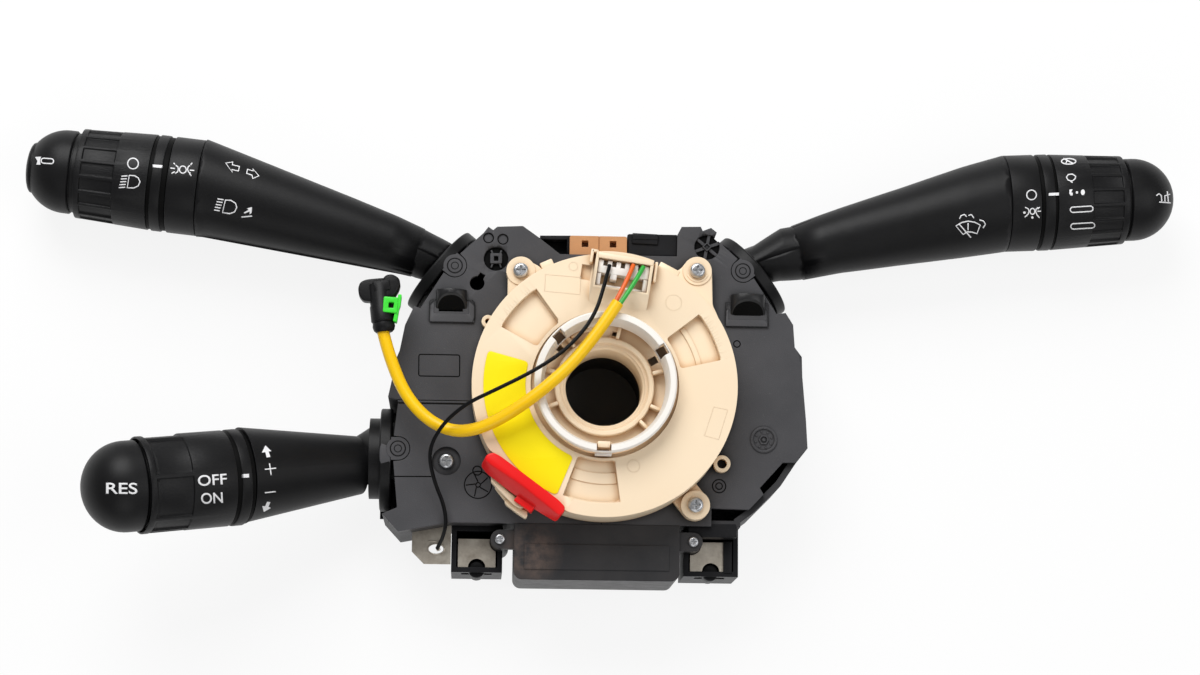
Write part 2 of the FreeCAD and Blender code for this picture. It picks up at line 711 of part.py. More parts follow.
def makeDisc():
    plate = tube(disc_radius, disc_opening, (disc_top - disc_plate, disc_top))
    skirt = tube(disc_radius, disc_radius - disc_wall, (skirt_bottom, disc_top - disc_plate))
    half = (plug_opening[0] / 2, plug_opening[1] / 2)
    top = disc_top + plug_rise
    outer_x = (-half[0] - plug_wall, half[0] + plug_wall)
    rim = box(outer_x, (-half[1] - plug_wall, half[1] + plug_flange), (disc_top - 1, top))
    slope = [(-half[1] - plug_wall, disc_top - 1), (-half[1] - plug_wall, top),
             (-half[1] - plug_wall - plug_slope, disc_top), (-half[1] - plug_wall - plug_slope, disc_top - 1)]
    corners = [Vector(outer_x[0], y, z) for y, z in slope]
    apron = Part.Face(Part.makePolygon(corners + corners[:1])).extrude(Vector(outer_x[1] - outer_x[0], 0, 0))
    socket = plugFrame(joined([rim, apron])).common(post(disc_radius, (0, 99)))
    opening = plugFrame(box((-half[0], half[0]), (-half[1], half[1]), (disc_top - disc_plate + 1, 99)))
    guide = plugFrame(box((-half[0] - 6, -half[0] - 2.2), (-3, 3), (disc_top - disc_plate + 1, 99)))
    disc = joined([plate, skirt, socket])
    pocket_z = (disc_top - pocket_depth, 99)
    cuts = [sector(pocket_inner, pocket_outer, span, pocket_z) for span in pocket_spans]
    stepped = (pocket_z[0] - pocket_step, pocket_z[0] + 1)
    middle = (pocket_inner + pocket_outer) / 2
    cuts += [sector(middle, pocket_outer, span, stepped) for span in pocket_spans[1:]]
    disc = without(disc, [opening, guide, *cuts, lockNotch()])
    save("rotor_disc", joined([disc, lockClip()]))

    insert = plugFrame(box((-half[0] + 0.1, half[0] - 0.1), (0.2, half[1] - 0.1), (disc_top - disc_plate + 1, top - 1)))
    teeth = [plugFrame(box((x, x + 1.4), (half[1] - 1.8, half[1] + 1), (top - 4.5, 99)))
             for x in (-8.2, -4.6, -1.0, 2.6, 6.2)]
    save("rotor_plug", without(insert, teeth))

    label = sector(pocket_inner + label_margin, pocket_outer + label_margin, label_span,
                   (disc_top, disc_top + label_thickness))
    ends = [e for e in label.Edges if len(e.Vertexes) == 2 and
            (e.Vertexes[0].Point - e.Vertexes[1].Point).cross(UP).Length < 1e-6]
    save("blank_label", label.makeFillet(label_corner, ends))


def lockShape(top, grow=0.0):
    """The red key over the disc's rim: a bar with slanted ends, deeper in the middle."""
    half = lock_length / 2 + grow
    y = (-lock_thickness / 2 - grow, lock_thickness / 2 + grow)
    bar_profile = [(-half, disc_top - lock_drop + 5), (-half + 5, disc_top - lock_drop - grow),
                   (half - 5, disc_top - lock_drop - grow), (half, disc_top - lock_drop + 5),
                   (half, disc_top + top + grow), (-half, disc_top + top + grow)]
    corners = [Vector(a, y[0], b) for a, b in bar_profile]
    solid = Part.Face(Part.makePolygon(corners + corners[:1])).extrude(Vector(0, y[1] - y[0], 0))
    return moved(solid, lockPlace(), lock_angle - 90)


def lockPlace():
    angle = math.radians(lock_angle)
    away = disc_radius - 1.5
    return (away * math.cos(angle), away * math.sin(angle), 0)


def lockNotch():
    """The flat that the key leaves free in the disc's rim."""
    return lockShape(10.0, running)


def lockClip():
    """The two leaves on the disc's rim that hold the key from outside."""
    outside = lock_thickness / 2 + gap
    reach = clip_length / 2
    floor = box((-reach, reach), (1.0 - lock_thickness / 2, outside + clip_thickness),
                (clip_bottom, disc_top - lock_drop - gap))
    leaf_y = (outside, outside + clip_thickness)
    leaves = [box(x, leaf_y, (clip_bottom, clip_top)) for x in ((-reach, -clip_slit / 2), (clip_slit / 2, reach))]
    return moved(joined([floor, *leaves]), lockPlace(), lock_angle - 90)


def makeLock():
    key = lockShape(lock_rise)
    ends = [e for e in key.Edges if len(e.Vertexes) == 2 and
            (e.Vertexes[0].Point - e.Vertexes[1].Point).cross(UP).Length < 1e-6]
    save("transport_lock", key.makeFillet(lock_thickness * 0.45, ends))


def makeHub():
    hub = turned([
        (hub_bore, hub_bottom), (hub_tube, hub_bottom),
        (hub_tube, hub_floor_top - hub_floor), (disc_opening, hub_floor_top - hub_floor), (disc_opening, disc_top),
        (cup_inner, disc_top), (cup_inner, hub_floor_top), (hub_ring_radius, hub_floor_top),
        (hub_ring_radius, hub_top), (hub_bore, hub_top),
    ])
    ribs = []
    for turn in rib_angles:
        rib = box((hub_ring_radius - 0.5, cup_inner + 0.5), (-rib_width / 2, rib_width / 2),
                  (hub_floor_top - 0.5, hub_top - 1.0))
        ribs.append(moved(rib, (0, 0, 0), turn))
    save("rotor_hub", joined([hub] + ribs))

    ring = turned([
        (ring_throat, disc_top - ring_spigot), (cup_inner - running, disc_top - ring_spigot),
        (cup_inner - running, disc_top), (ring_radius, disc_top), (ring_radius, ring_top - 0.8),
        (ring_radius - 0.8, ring_top), (ring_radius - 1.6, ring_top), (ring_throat, disc_top + 1.5),
    ])
    notches = [moved(box((ring_radius - 1.6, ring_radius + 1), (-2, 2), (ring_top - 2.2, 99)), (0, 0, 0), a)
               for a in (133, 28, -93)]
    save("retaining_ring", without(ring, notches))

    coil_z = (base_top + gap, disc_top - disc_plate - gap)
    save("ribbon_cable", tube(disc_radius - disc_wall - 3, pocket_inner, coil_z))


def makeSquib():
    x, y, z = squib_centre
    half, deep = squib_width / 2, squib_depth / 2
    low, high = -squib_length / 2, squib_length / 2
    body = box((-half, half), (low + sleeve_length, high), (-deep, deep))
    body = body.makeFillet(2.2, [e for e in body.Edges if abs(e.CenterOfMass.z) > deep - 0.1 and
                                 abs(e.CenterOfMass.x) > half - 0.1])
    sleeve = Part.makeCylinder(nose_radius + 0.8, sleeve_length + 1, Vector(0, low, 0), Vector(0, 1, 0))
    nose = Part.makeCylinder(nose_radius, 4.5, Vector(0.6, high - 1, 0), Vector(0, 1, 0))
    wing = Part.makeCylinder(wing_length / 2, squib_depth - 1.5, Vector(-half - wing_reach / 2 + 1, high - 6.2, -deep))
    bridge = box((-half - wing_reach / 2, 0), (high - 9.5, high - 2), (-deep, deep - 1.5))
    shell = joined([body, sleeve, nose, wing, bridge])
    socket = Part.makeCylinder(lead_diameter / 2, 3.0, Vector(0, low, 0), Vector(0, 1, 0))
    side = lock_square / 2
    seat = box((half - 3.4, half + 5), (-side, side), (deep - 2.6, deep + 5))
    shell = without(shell, [socket, seat])
    lock = joined([
        box((half - 3.4, half - 3.4 + lock_square), (-side, side), (deep - 2.6, deep + 0.6)),
        box((half - 1.0 + lock_square / 2 - 1.6, half - 3.4 + lock_square), (-side - 4.5, side + 3.5), (deep - 2.2, deep - 1.2)),
    ])
    centre = half - 3.4 + side
    window = lock_window / 2
    lock = lock.cut(box((centre - window, centre + window), (-window, window), (deep - 1.4, deep + 1)))
    lock = without(lock, [shell])
    save("squib_connector", moved(shell, (x, y, z), squib_turn))
    save("squib_lock", moved(lock, (x, y, z), squib_turn))


def makeLeads():
    save("airbag_lead", cord(lead_route, lead_diameter))
    save("ground_wire", cord(ground_route, wire_diameter))
    save("orange_wire", cord(orange_route, thin_diameter))
    save("green_wire", cord(green_route, thin_diameter))


def heading(stalk, turn):
    """The direction of an arm or knob in its stalk's own axes."""
    a, b = math.radians(turn), math.radians(stalk["rise"])
    return Vector(math.cos(a) * math.cos(b), math.sin(a) * math.cos(b), math.sin(b))


def makeYoke(stalk):
    height, half = stalk["height"], frame_half_height
    back = -frame_reach
    z = (height - half, height + half)
    frame = box((back, collar_offset + 0.5), (-frame_half_width, frame_half_width), z)
    inner = box((back - 1, collar_offset), (-frame_half_width + cheek, frame_half_width - cheek),
                (z[0] + bar, z[1] - bar))
    frame = frame.cut(inner)
    collar = Part.makeCylinder(stalk["collar"], collar_thickness, Vector(collar_offset, stalk["drop"], height),
                               Vector(1, 0, 0))
    collar = collar.makeFillet(0.8, [e for e in collar.Edges if e.Length > 50])
    tongue = joined([post(tongue_radius, (z[1] - 1, plate_top)),
                     box((0, collar_offset + 0.2), (-tongue_radius, tongue_radius), (z[1] - 1, plate_top))])
    mark = tube(3.0, 2.7, (plate_top - 0.25, plate_top + 1))
    stub = post(journal_radius, (floor_thickness + gap, z[0] + 1))
    pieces = [frame, collar, tongue, stub]
    bore = root_radius + (root_clearance if stalk["pull"] else 0.0)
    if not stalk["pull"]:
        pieces.append(Part.makeCylinder(16.0, 4.3, Vector(collar_offset + collar_thickness, 1.5, height),
                                        Vector(1, 0, 0)))
    hole = Part.makeCylinder(bore, 20, Vector(collar_offset - 1, 0, height), Vector(1, 0, 0))
    pin_hole = Part.makeCylinder(pin_radius, 40, Vector(0, -20, height), Vector(0, 1, 0))
    pocket = plungerAt(stalk, back, plunger_radius + running, plunger_length + detent_spring_length - plunger_proud)
    yoke = without(joined(pieces), [hole, pin_hole, mark, pocket])
    save(f"{stalk['name']}_yoke", housed(stalk, yoke))

    pin = Part.makeCylinder(pin_radius, 2 * frame_half_width, Vector(0, -frame_half_width, height), Vector(0, 1, 0))
    save(f"{stalk['name']}_cross_pin", housed(stalk, pin))
    plunger = plungerAt(stalk, back - plunger_proud, plunger_radius)
    nose = [e for e in plunger.Edges if e.CenterOfMass.x < back - plunger_proud + 0.01 and e.Length > 5]
    save(f"{stalk['name']}_detent_plunger", housed(stalk, plunger.makeFillet(plunger_radius * 0.9, nose)))
    spring = coil(plunger_radius - 0.3, 0.5, detent_spring_length, 3)
    start = Vector(back - plunger_proud + plunger_length, 0, detentHeight(stalk))
    save(f"{stalk['name']}_detent_spring", housed(stalk, aimed(spring, start, Vector(1, 0, 0))))


def ringOf(place, normal, radius):
    return Part.Wire(Part.Circle(place, normal, radius).toShape())


def makeLever(stalk):
    height = stalk["height"]
    centre = Vector(0, 0, height)
    forward = Vector(1, 0, 0)
    outer = collar_offset + collar_thickness
    arm = heading(stalk, stalk["turn"])
    knob = heading(stalk, stalk["knob_turn"])
    step = neck_gap if stalk["pull"] else 4.3
    neck_at = Vector(outer + step, 0, height)
    arm_at = Vector(*stalk["neck_start"], height)
    arm_end = arm_at + arm * stalk["arm_length"]
    neck = Part.makeLoft([
        ringOf(neck_at, forward, stalk["neck_radius"]),
        ringOf((neck_at + arm_at) * 0.5, (forward + arm).normalize(), (stalk["neck_radius"] + stalk["arm_radius"]) / 2),
        ringOf(arm_at, arm, stalk["arm_radius"]),
    ], True)
    cone = Part.makeLoft([ringOf(arm_at, arm, stalk["arm_radius"] + 0.25), ringOf(arm_end, knob, stalk["end_radius"])],
                         True)
    root = Part.makeCylinder(root_radius, outer + step + 1, centre, forward)
    flats = box((-20, 40), (-eye_width / 2, eye_width / 2), (0, 60))
    root = root.common(joined([flats, box((outer - 4, 40), (-20, 20), (0, 60))]))
    eye = Part.makeCylinder(root_radius - 0.5, eye_width, Vector(0, -eye_width / 2, height), Vector(0, 1, 0))
    eye = eye.common(box((-20, collar_offset - 1 - gap), (-20, 20), (0, 60)))
    spigot_length = spigotLength(stalk)
    spigot = aimed(post(spigot_radius, (-2, spigot_length)), arm_end, knob)
    bore = aimed(post(stem_radius + running, (spigot_length - stemRoom(), 99)), arm_end, knob)
    lever = joined([neck, cone, root, eye, spigot])
    pin_hole = Part.makeCylinder(pin_radius + (running if stalk["pull"] else 0), 40, Vector(0, -20, height),
                                 Vector(0, 1, 0))
    save(f"{stalk['name']}_lever", housed(stalk, without(lever, [bore, pin_hole])))

    at = gap
    if stalk["ring_b"]:
        radius = stalk["end_radius"]
        ring = turned([(spigot_radius + running, at), (radius - edge_break, at), (radius, at + edge_break),
                       (radius, at + stalk["ring_b"] - edge_break), (radius - edge_break, at + stalk["ring_b"]),
                       (spigot_radius + running, at + stalk["ring_b"])])
        save(f"{stalk['name']}_inner_ring", housed(stalk, aimed(ring, arm_end, knob)))
        at += stalk["ring_b"] + gap
    radius = stalk["end_radius"]
    index = turned([(spigot_radius, at), (radius - edge_break, at), (radius, at + edge_break),
                    (radius, at + stalk["index"] - edge_break), (radius - edge_break, at + stalk["index"]),
                    (spigot_radius, at + stalk["index"])])
    save(f"{stalk['name']}_index_ring", housed(stalk, aimed(index, arm_end, knob)))


def knobStart(stalk):
    return gap + (stalk["ring_b"] + gap if stalk["ring_b"] else 0) + stalk["index"] + gap


def knobEnd(stalk):
    return knobStart(stalk) + stalk["knob"]


def spigotLength(stalk):
    return knobEnd(stalk) - knob_recess - 0.4


def stemRoom():
    """How deep the button's bore goes, from the spigot's end."""
    return stem_length - knob_recess + 0.4 + button_travel + rim_gap + button_spring_length - 2.0


def makeKnob(stalk):
    start, end = knobStart(stalk), knobEnd(stalk)
    inner, outer = stalk["end_radius"] - 0.1, stalk["knob_end_radius"]
    bore = spigot_radius + running
    hollow = outer - knob_wall - flute_depth
    seat = outer - rim_lip
    shell = turned([
        (bore, start), (inner - edge_break, start), (inner, start + edge_break), (outer, end - edge_break),
        (outer - edge_break, end),
        (seat, end), (seat, end - knob_recess), (bore, end - knob_recess), (bore, end - knob_recess - knob_web),
        (hollow, end - knob_recess - knob_web), (hollow, start + knob_web), (bore, start + knob_web),
    ])
    length = stalk["knob"] * 0.42
    count = stalk["flutes"]
    width = 2 * math.pi * outer / count * flute_share
    flutes = []
    for number in range(count):
        groove = box((outer - flute_depth, outer + 5), (-width / 2, width / 2), (end - length, end - flute_rim))
        flutes.append(moved(groove, (0, 0, 0), number * 360 / count))
    shell = without(shell, flutes)
    centre, axis = stalkEnd(stalk)
    save(f"{stalk['name']}_knob", housed(stalk, aimed(shell, centre, axis)))

    dome_radius = seat - dome_gap
    base = end - knob_recess + button_travel + rim_gap
    stem_start = base - stem_length
    profile = [Vector(0, 0, stem_start), Vector(stem_radius, 0, stem_start), Vector(stem_radius, 0, base),
               Vector(dome_radius, 0, base), Vector(dome_radius, 0, base + dome_skirt)]
    edges = [Part.LineSegment(a, b).toShape() for a, b in zip(profile, profile[1:])]
    tip = Vector(0, 0, base + dome_skirt + dome_radius)
    bend = dome_radius * math.sqrt(0.5)
    edges.append(Part.Arc(profile[-1], Vector(bend, 0, base + dome_skirt + bend), tip).toShape())
    edges.append(Part.LineSegment(tip, profile[0]).toShape())
    dome = Part.Face(Part.Wire(edges)).revolve(Vector(), UP, 360)
    save(f"{stalk['name']}_end_button", housed(stalk, aimed(dome, centre, axis)))
    spring = coil(stem_radius - 0.8, 0.9, button_spring_length - 0.1, 3)
    spring.translate(Vector(0, 0, spigotLength(stalk) - stemRoom()))
    save(f"{stalk['name']}_button_spring", housed(stalk, aimed(spring, centre, axis)))


def stalkEnd(stalk):
    """The centre of the arm's outer end, and the knob's axis."""
    arm_at = Vector(*stalk["neck_start"], stalk["height"])
    end = arm_at + heading(stalk, stalk["turn"]) * stalk["arm_length"]
    return end, heading(stalk, stalk["knob_turn"])


makeHousing()
makeTerminalBoxes()
makeCovers()
makeBottomCover()
makeSmallMetal()
makeColumnConnector()
makeScrews()
makeClockSpringBase()
makeDisc()
makeLock()
makeHub()
makeSquib()
makeLeads()
for each in (left, right, cruise):
    makeYoke(each)
    makeLever(each)
    makeKnob(each)
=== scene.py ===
import bpy
import bmesh
import math
from mathutils import Matrix, Vector


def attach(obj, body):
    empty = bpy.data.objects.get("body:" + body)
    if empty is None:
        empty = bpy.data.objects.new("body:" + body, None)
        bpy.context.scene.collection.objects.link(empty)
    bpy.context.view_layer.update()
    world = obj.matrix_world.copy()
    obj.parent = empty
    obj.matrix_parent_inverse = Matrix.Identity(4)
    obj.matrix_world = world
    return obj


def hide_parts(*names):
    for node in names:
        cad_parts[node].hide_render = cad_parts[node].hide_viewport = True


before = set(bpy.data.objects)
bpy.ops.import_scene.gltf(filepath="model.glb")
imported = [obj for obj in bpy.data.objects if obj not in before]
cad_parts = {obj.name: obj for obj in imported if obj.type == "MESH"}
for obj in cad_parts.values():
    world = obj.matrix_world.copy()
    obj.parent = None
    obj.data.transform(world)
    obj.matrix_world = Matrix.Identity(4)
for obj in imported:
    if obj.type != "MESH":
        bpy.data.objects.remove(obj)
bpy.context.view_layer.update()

mm = 0.001
print("frame loaded:", len(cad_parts), "nodes")


# the camera stands where the photographer's did
shot = dict(eye=(-0.049378, -0.172429, 1.142289), target=(-0.002125, 0.018407, 0.060), roll=0.6, lens=85.14,
            sensor=36, width=1200, height=675)
eye, target = Vector(shot["eye"]), Vector(shot["target"])
back = (eye - target).normalized()
level = Vector((0, 1, 0)).cross(back).normalized()
upright = back.cross(level)
roll = math.radians(shot["roll"])
side = level * math.cos(roll) + upright * math.sin(roll)
top = upright * math.cos(roll) - level * math.sin(roll)
camera = bpy.data.objects.new("camera", bpy.data.cameras.new("camera"))
bpy.context.scene.collection.objects.link(camera)
camera.matrix_world = Matrix(((side.x, top.x, back.x, eye.x), (side.y, top.y, back.y, eye.y),
                              (side.z, top.z, back.z, eye.z), (0, 0, 0, 1)))
camera.data.lens = shot["lens"]
camera.data.sensor_width = shot["sensor"]
bpy.context.scene.camera = camera


class Wire:
    # wraps a socket so that shader maths reads as an expression
    def __init__(self, finish, socket):
        self.finish = finish
        self.socket = socket

    def maths(self, operation, first, second):
        return self.finish.node("ShaderNodeMath", {"operation": operation}, {0: first, 1: second})

    def __add__(self, other):
        return self.maths("ADD", self, other)

    def __mul__(self, other):
        return self.maths("MULTIPLY", self, other)

    def __rsub__(self, other):
        return self.maths("SUBTRACT", other, self)

    __radd__, __rmul__ = __add__, __mul__


class Shading:
    def __init__(self, tree):
        self.tree = tree

    def node(self, kind, settings, values, output=0):
        made = self.tree.nodes.new(kind)
        for key, value in settings.items():
            setattr(made, key, value)
        for key, value in values.items():
            if isinstance(value, Wire):
                self.tree.links.new(value.socket, made.inputs[key])
            else:
                made.inputs[key].default_value = value
        return Wire(self, made.outputs[output])


class Finish(Shading):
    def __init__(self, name, colour, roughness, metallic=0.0):
        self.material = bpy.data.materials.new(name)
        self.material.use_nodes = True
        super().__init__(self.material.node_tree)
        self.shader = self.tree.nodes["Principled BSDF"]
        self.shader.inputs["Base Color"].default_value = (*colour, 1)
        self.shader.inputs["Roughness"].default_value = roughness
        self.shader.inputs["Metallic"].default_value = metallic

    def place(self):
        return self.node("ShaderNodeTexCoord", {}, {}, "Object")

    def noise(self, scale, detail=2.0, rough=0.5, stretch=None, turn=(0, 0, 0)):
        at = self.place()
        if stretch:
            at = self.node("ShaderNodeMapping", {}, {"Vector": at, "Scale": stretch, "Rotation": turn})
        values = {"Vector": at, "Scale": scale, "Detail": detail, "Roughness": rough}
        return self.node("ShaderNodeTexNoise", {}, values)

    def blend(self, factor, first, second):
        colours = {index: value if isinstance(value, Wire) else (*value, 1)
                   for index, value in ((6, first), (7, second))}
        return self.node("ShaderNodeMix", {"data_type": "RGBA"}, {0: factor, **colours}, 2)

    def spread(self, value, low, high):
        # maps 0..1 onto low..high
        return value * (high - low) + low

    def band(self, value, low, high):
        # stretches low..high onto 0..1 and stops there
        return self.node("ShaderNodeMapRange", {"clamp": True},
                         {"Value": value, "From Min": low, "From Max": high})

    def openness(self, reach):
        # 1 on open surfaces, less in corners and narrow gaps
        return self.node("ShaderNodeAmbientOcclusion", {"samples": 8}, {"Distance": reach * mm}, "AO")

    def feed(self, socket, value):
        self.tree.links.new(value.socket, self.shader.inputs[socket])

    def relief(self, height, depth, strength=1.0, edge=0.0):
        # a bump of that depth in metres, over edges rounded to that radius
        values = {"Height": height, "Distance": depth, "Strength": strength}
        if edge:
            values["Normal"] = self.node("ShaderNodeBevel", {"samples": 6}, {"Radius": edge})
        self.feed("Normal", self.node("ShaderNodeBump", {}, values))


def mouldedPlastic(name, look):
    # grained injection-moulded plastic with faint colour drift, scuffs, rounded edges and painted shade in corners
    look = {**commonLook, **look}
    made = Finish(name, look["colour"], look["roughness"])
    made.shader.inputs["Specular IOR Level"].default_value = look["specular"]
    drift = made.band(made.noise(look["driftScale"], 3.0), 0.3, 0.7)
    colour = made.blend(drift, look["colour"], look["second"])
    if "dust" in look:
        specks = made.band(made.noise(look["dustScale"], 6.0, 0.75), 0.62, 0.74)
        colour = made.blend(specks * look["dustAmount"], colour, look["dust"])
    if "patch" in look:
        # a stain that fades out round one place
        shade, (x, y, z), near, far = look["patch"]
        away = made.node("ShaderNodeVectorMath", {"operation": "DISTANCE"},
                         {0: made.place(), 1: (x * mm, y * mm, z * mm)}, 1)
        cloud = made.band(made.noise(150, 4.0, 0.7), 0.35, 0.65)
        colour = made.blend((1 - made.band(away, near * mm, far * mm)) * cloud, colour, shade)
    if "paintedShade" in look:
        # painted shade: the colour is darkened towards the given shade colour in corners, creases and narrow gaps
        shade, reach = look["paintedShade"]
        colour = made.blend(made.band(made.openness(reach), 0.25, 0.92), shade, colour)
    made.feed("Base Color", colour)
    shine = made.noise(look["driftScale"] * 4, 4.0, 0.6)
    made.feed("Roughness", made.spread(shine, look["roughness"] - look["sheen"], look["roughness"] + look["sheen"]))
    grain = made.noise(look["grainScale"], 2.0, 0.6, look.get("stretch"), look.get("turn", (0, 0, 0)))
    made.relief(grain, look["grainDepth"] * mm, 1.0, look["edge"] * mm)
    return made.material


def metal(name, look):
    # plated or stamped metal with fine drawing lines
    made = Finish(name, look["colour"], look["roughness"], metallic=1.0)
    lines = made.noise(look["lineScale"], 3.0, 0.6, look["stretch"])
    cloud = made.band(made.noise(look["cloudScale"], 4.0, 0.7), 0.35, 0.7)
    made.feed("Base Color", made.blend(cloud, look["colour"], look["second"]))
    made.feed("Roughness", made.spread(lines, look["roughness"] - 0.12, look["roughness"] + 0.15))
    made.relief(lines, look["lineDepth"] * mm, 0.6, look["edge"] * mm)
    return made.material


# what most of the plastics have in common
commonLook = dict(specular=0.5, sheen=0.05, driftScale=60, grainScale=900, grainDepth=0.02, edge=0.0)
# paintedShade gives a shade colour painted into corners and gaps, and how far it reaches in millimetres
plasticLooks = {
    "housingPlastic": dict(colour=(0.036, 0.036, 0.038), second=(0.052, 0.051, 0.054), roughness=0.5, sheen=0.08,
        driftScale=40, dust=(0.16, 0.16, 0.165), dustScale=900, dustAmount=0.5, specular=0.1, grainScale=3200,
        grainDepth=0.05, paintedShade=((0.004, 0.004, 0.004), 4), edge=0.35),
    "coverPlastic": dict(colour=(0.058, 0.058, 0.062), second=(0.078, 0.077, 0.082), roughness=0.46, sheen=0.08,
        driftScale=35, dust=(0.2, 0.2, 0.205), dustScale=1100, dustAmount=0.45, specular=0.14, grainScale=2600,
        grainDepth=0.06, paintedShade=((0.006, 0.006, 0.006), 4), edge=0.35),
    "boxPlastic": dict(colour=(0.012, 0.012, 0.013), second=(0.018, 0.018, 0.02), roughness=0.4, sheen=0.07,
        dust=(0.12, 0.12, 0.125), dustScale=1300, dustAmount=0.3, specular=0.08, grainScale=3000, grainDepth=0.03,
        paintedShade=((0.003, 0.003, 0.003), 4), edge=0.5),
    "stainedPlastic": dict(colour=(0.034, 0.034, 0.036), second=(0.048, 0.046, 0.047), roughness=0.42, sheen=0.1,
        driftScale=55, dust=(0.15, 0.14, 0.135), dustScale=900, dustAmount=0.3, specular=0.1, grainScale=2600,
        grainDepth=0.04, edge=0.5, patch=((0.13, 0.095, 0.08), (-27, -64, 42), 4, 13)),
    "hoodPlastic": dict(colour=(0.012, 0.012, 0.013), second=(0.016, 0.016, 0.017), roughness=0.33,
        dust=(0.12, 0.12, 0.125), dustScale=1300, dustAmount=0.2, specular=0.3, grainScale=3000, edge=0.4),
    "stalkPlastic": dict(colour=(0.0042, 0.0042, 0.0046), second=(0.0062, 0.0062, 0.0068), roughness=0.43,
        driftScale=45, dust=(0.07, 0.07, 0.078), dustScale=1500, dustAmount=0.22, specular=0.2, grainScale=3000,
        grainDepth=0.045, edge=0.25),
    "gripPlastic": dict(colour=(0.0046, 0.0046, 0.0051), second=(0.0066, 0.0066, 0.0073), roughness=0.42, sheen=0.06,
        driftScale=45, dust=(0.08, 0.08, 0.088), dustScale=1300, dustAmount=0.25, specular=0.22, grainScale=1500,
        grainDepth=0.09, edge=0.25, stretch=(0.35, 2.2, 1), turn=(0, 0, 0.9)),
    # painted shade: a near-black finish laid where grooves, mouths, recesses and stamp lines fall into shade
    "paintedShadeBlack": dict(colour=(0.003, 0.003, 0.003), second=(0.004, 0.004, 0.004), roughness=0.5, specular=0.05,
        grainScale=2000),
    "notchShadeBrown": dict(colour=(0.05, 0.03, 0.018), second=(0.09, 0.055, 0.03), roughness=0.6, driftScale=90,
        specular=0.1, grainScale=1500, grainDepth=0.01),
    "creamPlastic": dict(colour=(0.91, 0.745, 0.54), second=(0.88, 0.7, 0.49), roughness=0.36, sheen=0.06,
        driftScale=22, grainScale=1500, grainDepth=0.01, paintedShade=((0.58, 0.34, 0.15), 3.5), edge=0.3),
    "whitePlastic": dict(colour=(0.92, 0.89, 0.84), second=(0.88, 0.84, 0.78), roughness=0.38, sheen=0.06,
        driftScale=30, grainScale=1500, grainDepth=0.01, paintedShade=((0.52, 0.42, 0.32), 2), edge=0.3),
    "redPlastic": dict(colour=(0.86, 0.012, 0.012), second=(0.78, 0.008, 0.009), roughness=0.33, specular=0.25,
        driftScale=40, grainScale=1800, grainDepth=0.012, paintedShade=((0.3, 0.002, 0.002), 4), edge=0.45),
    "greenPlastic": dict(colour=(0.07, 0.8, 0.05), second=(0.04, 0.7, 0.03), roughness=0.36, grainScale=1800,
        grainDepth=0.01, edge=0.25),
    "brownPlastic": dict(colour=(0.55, 0.27, 0.11), second=(0.48, 0.22, 0.085), roughness=0.42, sheen=0.06,
        grainScale=2000, edge=0.3),
    "labelFilm": dict(colour=(0.97, 0.82, 0.006), second=(0.93, 0.77, 0.004), roughness=0.4, specular=0.15,
        driftScale=30, grainScale=700),
    "yellowJacket": dict(colour=(0.95, 0.58, 0.003), second=(0.9, 0.53, 0.002), roughness=0.34, specular=0.3,
        driftScale=50, grainDepth=0.03),
    "blackJacket": dict(colour=(0.004, 0.004, 0.0045), second=(0.006, 0.006, 0.0066), roughness=0.34, specular=0.1),
    "orangeJacket": dict(colour=(0.8, 0.13, 0.01), second=(0.72, 0.11, 0.01), roughness=0.36),
    "greenJacket": dict(colour=(0.03, 0.42, 0.05), second=(0.02, 0.36, 0.04), roughness=0.36),
    "whitePrint": dict(colour=(0.86, 0.86, 0.87), second=(0.78, 0.78, 0.8), roughness=0.5, driftScale=300,
        grainScale=2600),
    "boardGreen": dict(colour=(0.02, 0.14, 0.05), second=(0.015, 0.11, 0.04), roughness=0.35, grainDepth=0.01,
        edge=0.1),
    "ribbonFilm": dict(colour=(0.5, 0.3, 0.1), second=(0.44, 0.26, 0.08), roughness=0.3, grainDepth=0.01, edge=0.1),
}
metalLooks = {
    "zincSteel": dict(colour=(0.62, 0.63, 0.65), second=(0.42, 0.43, 0.45), roughness=0.3, lineScale=900,
        stretch=(1, 1, 1), cloudScale=500, lineDepth=0.02, edge=0.2),
    "nickelSheet": dict(colour=(0.62, 0.57, 0.49), second=(0.4, 0.35, 0.29), roughness=0.34, lineScale=700,
        stretch=(1, 12, 1), cloudScale=160, lineDepth=0.02, edge=0.15),
    "springSteel": dict(colour=(0.45, 0.45, 0.47), second=(0.32, 0.32, 0.34), roughness=0.3, lineScale=900,
        stretch=(1, 1, 1), cloudScale=400, lineDepth=0.01, edge=0),
}
finishes = {name: mouldedPlastic(name, look) for name, look in plasticLooks.items()}
finishes.update({name: metal(name, look) for name, look in metalLooks.items()})

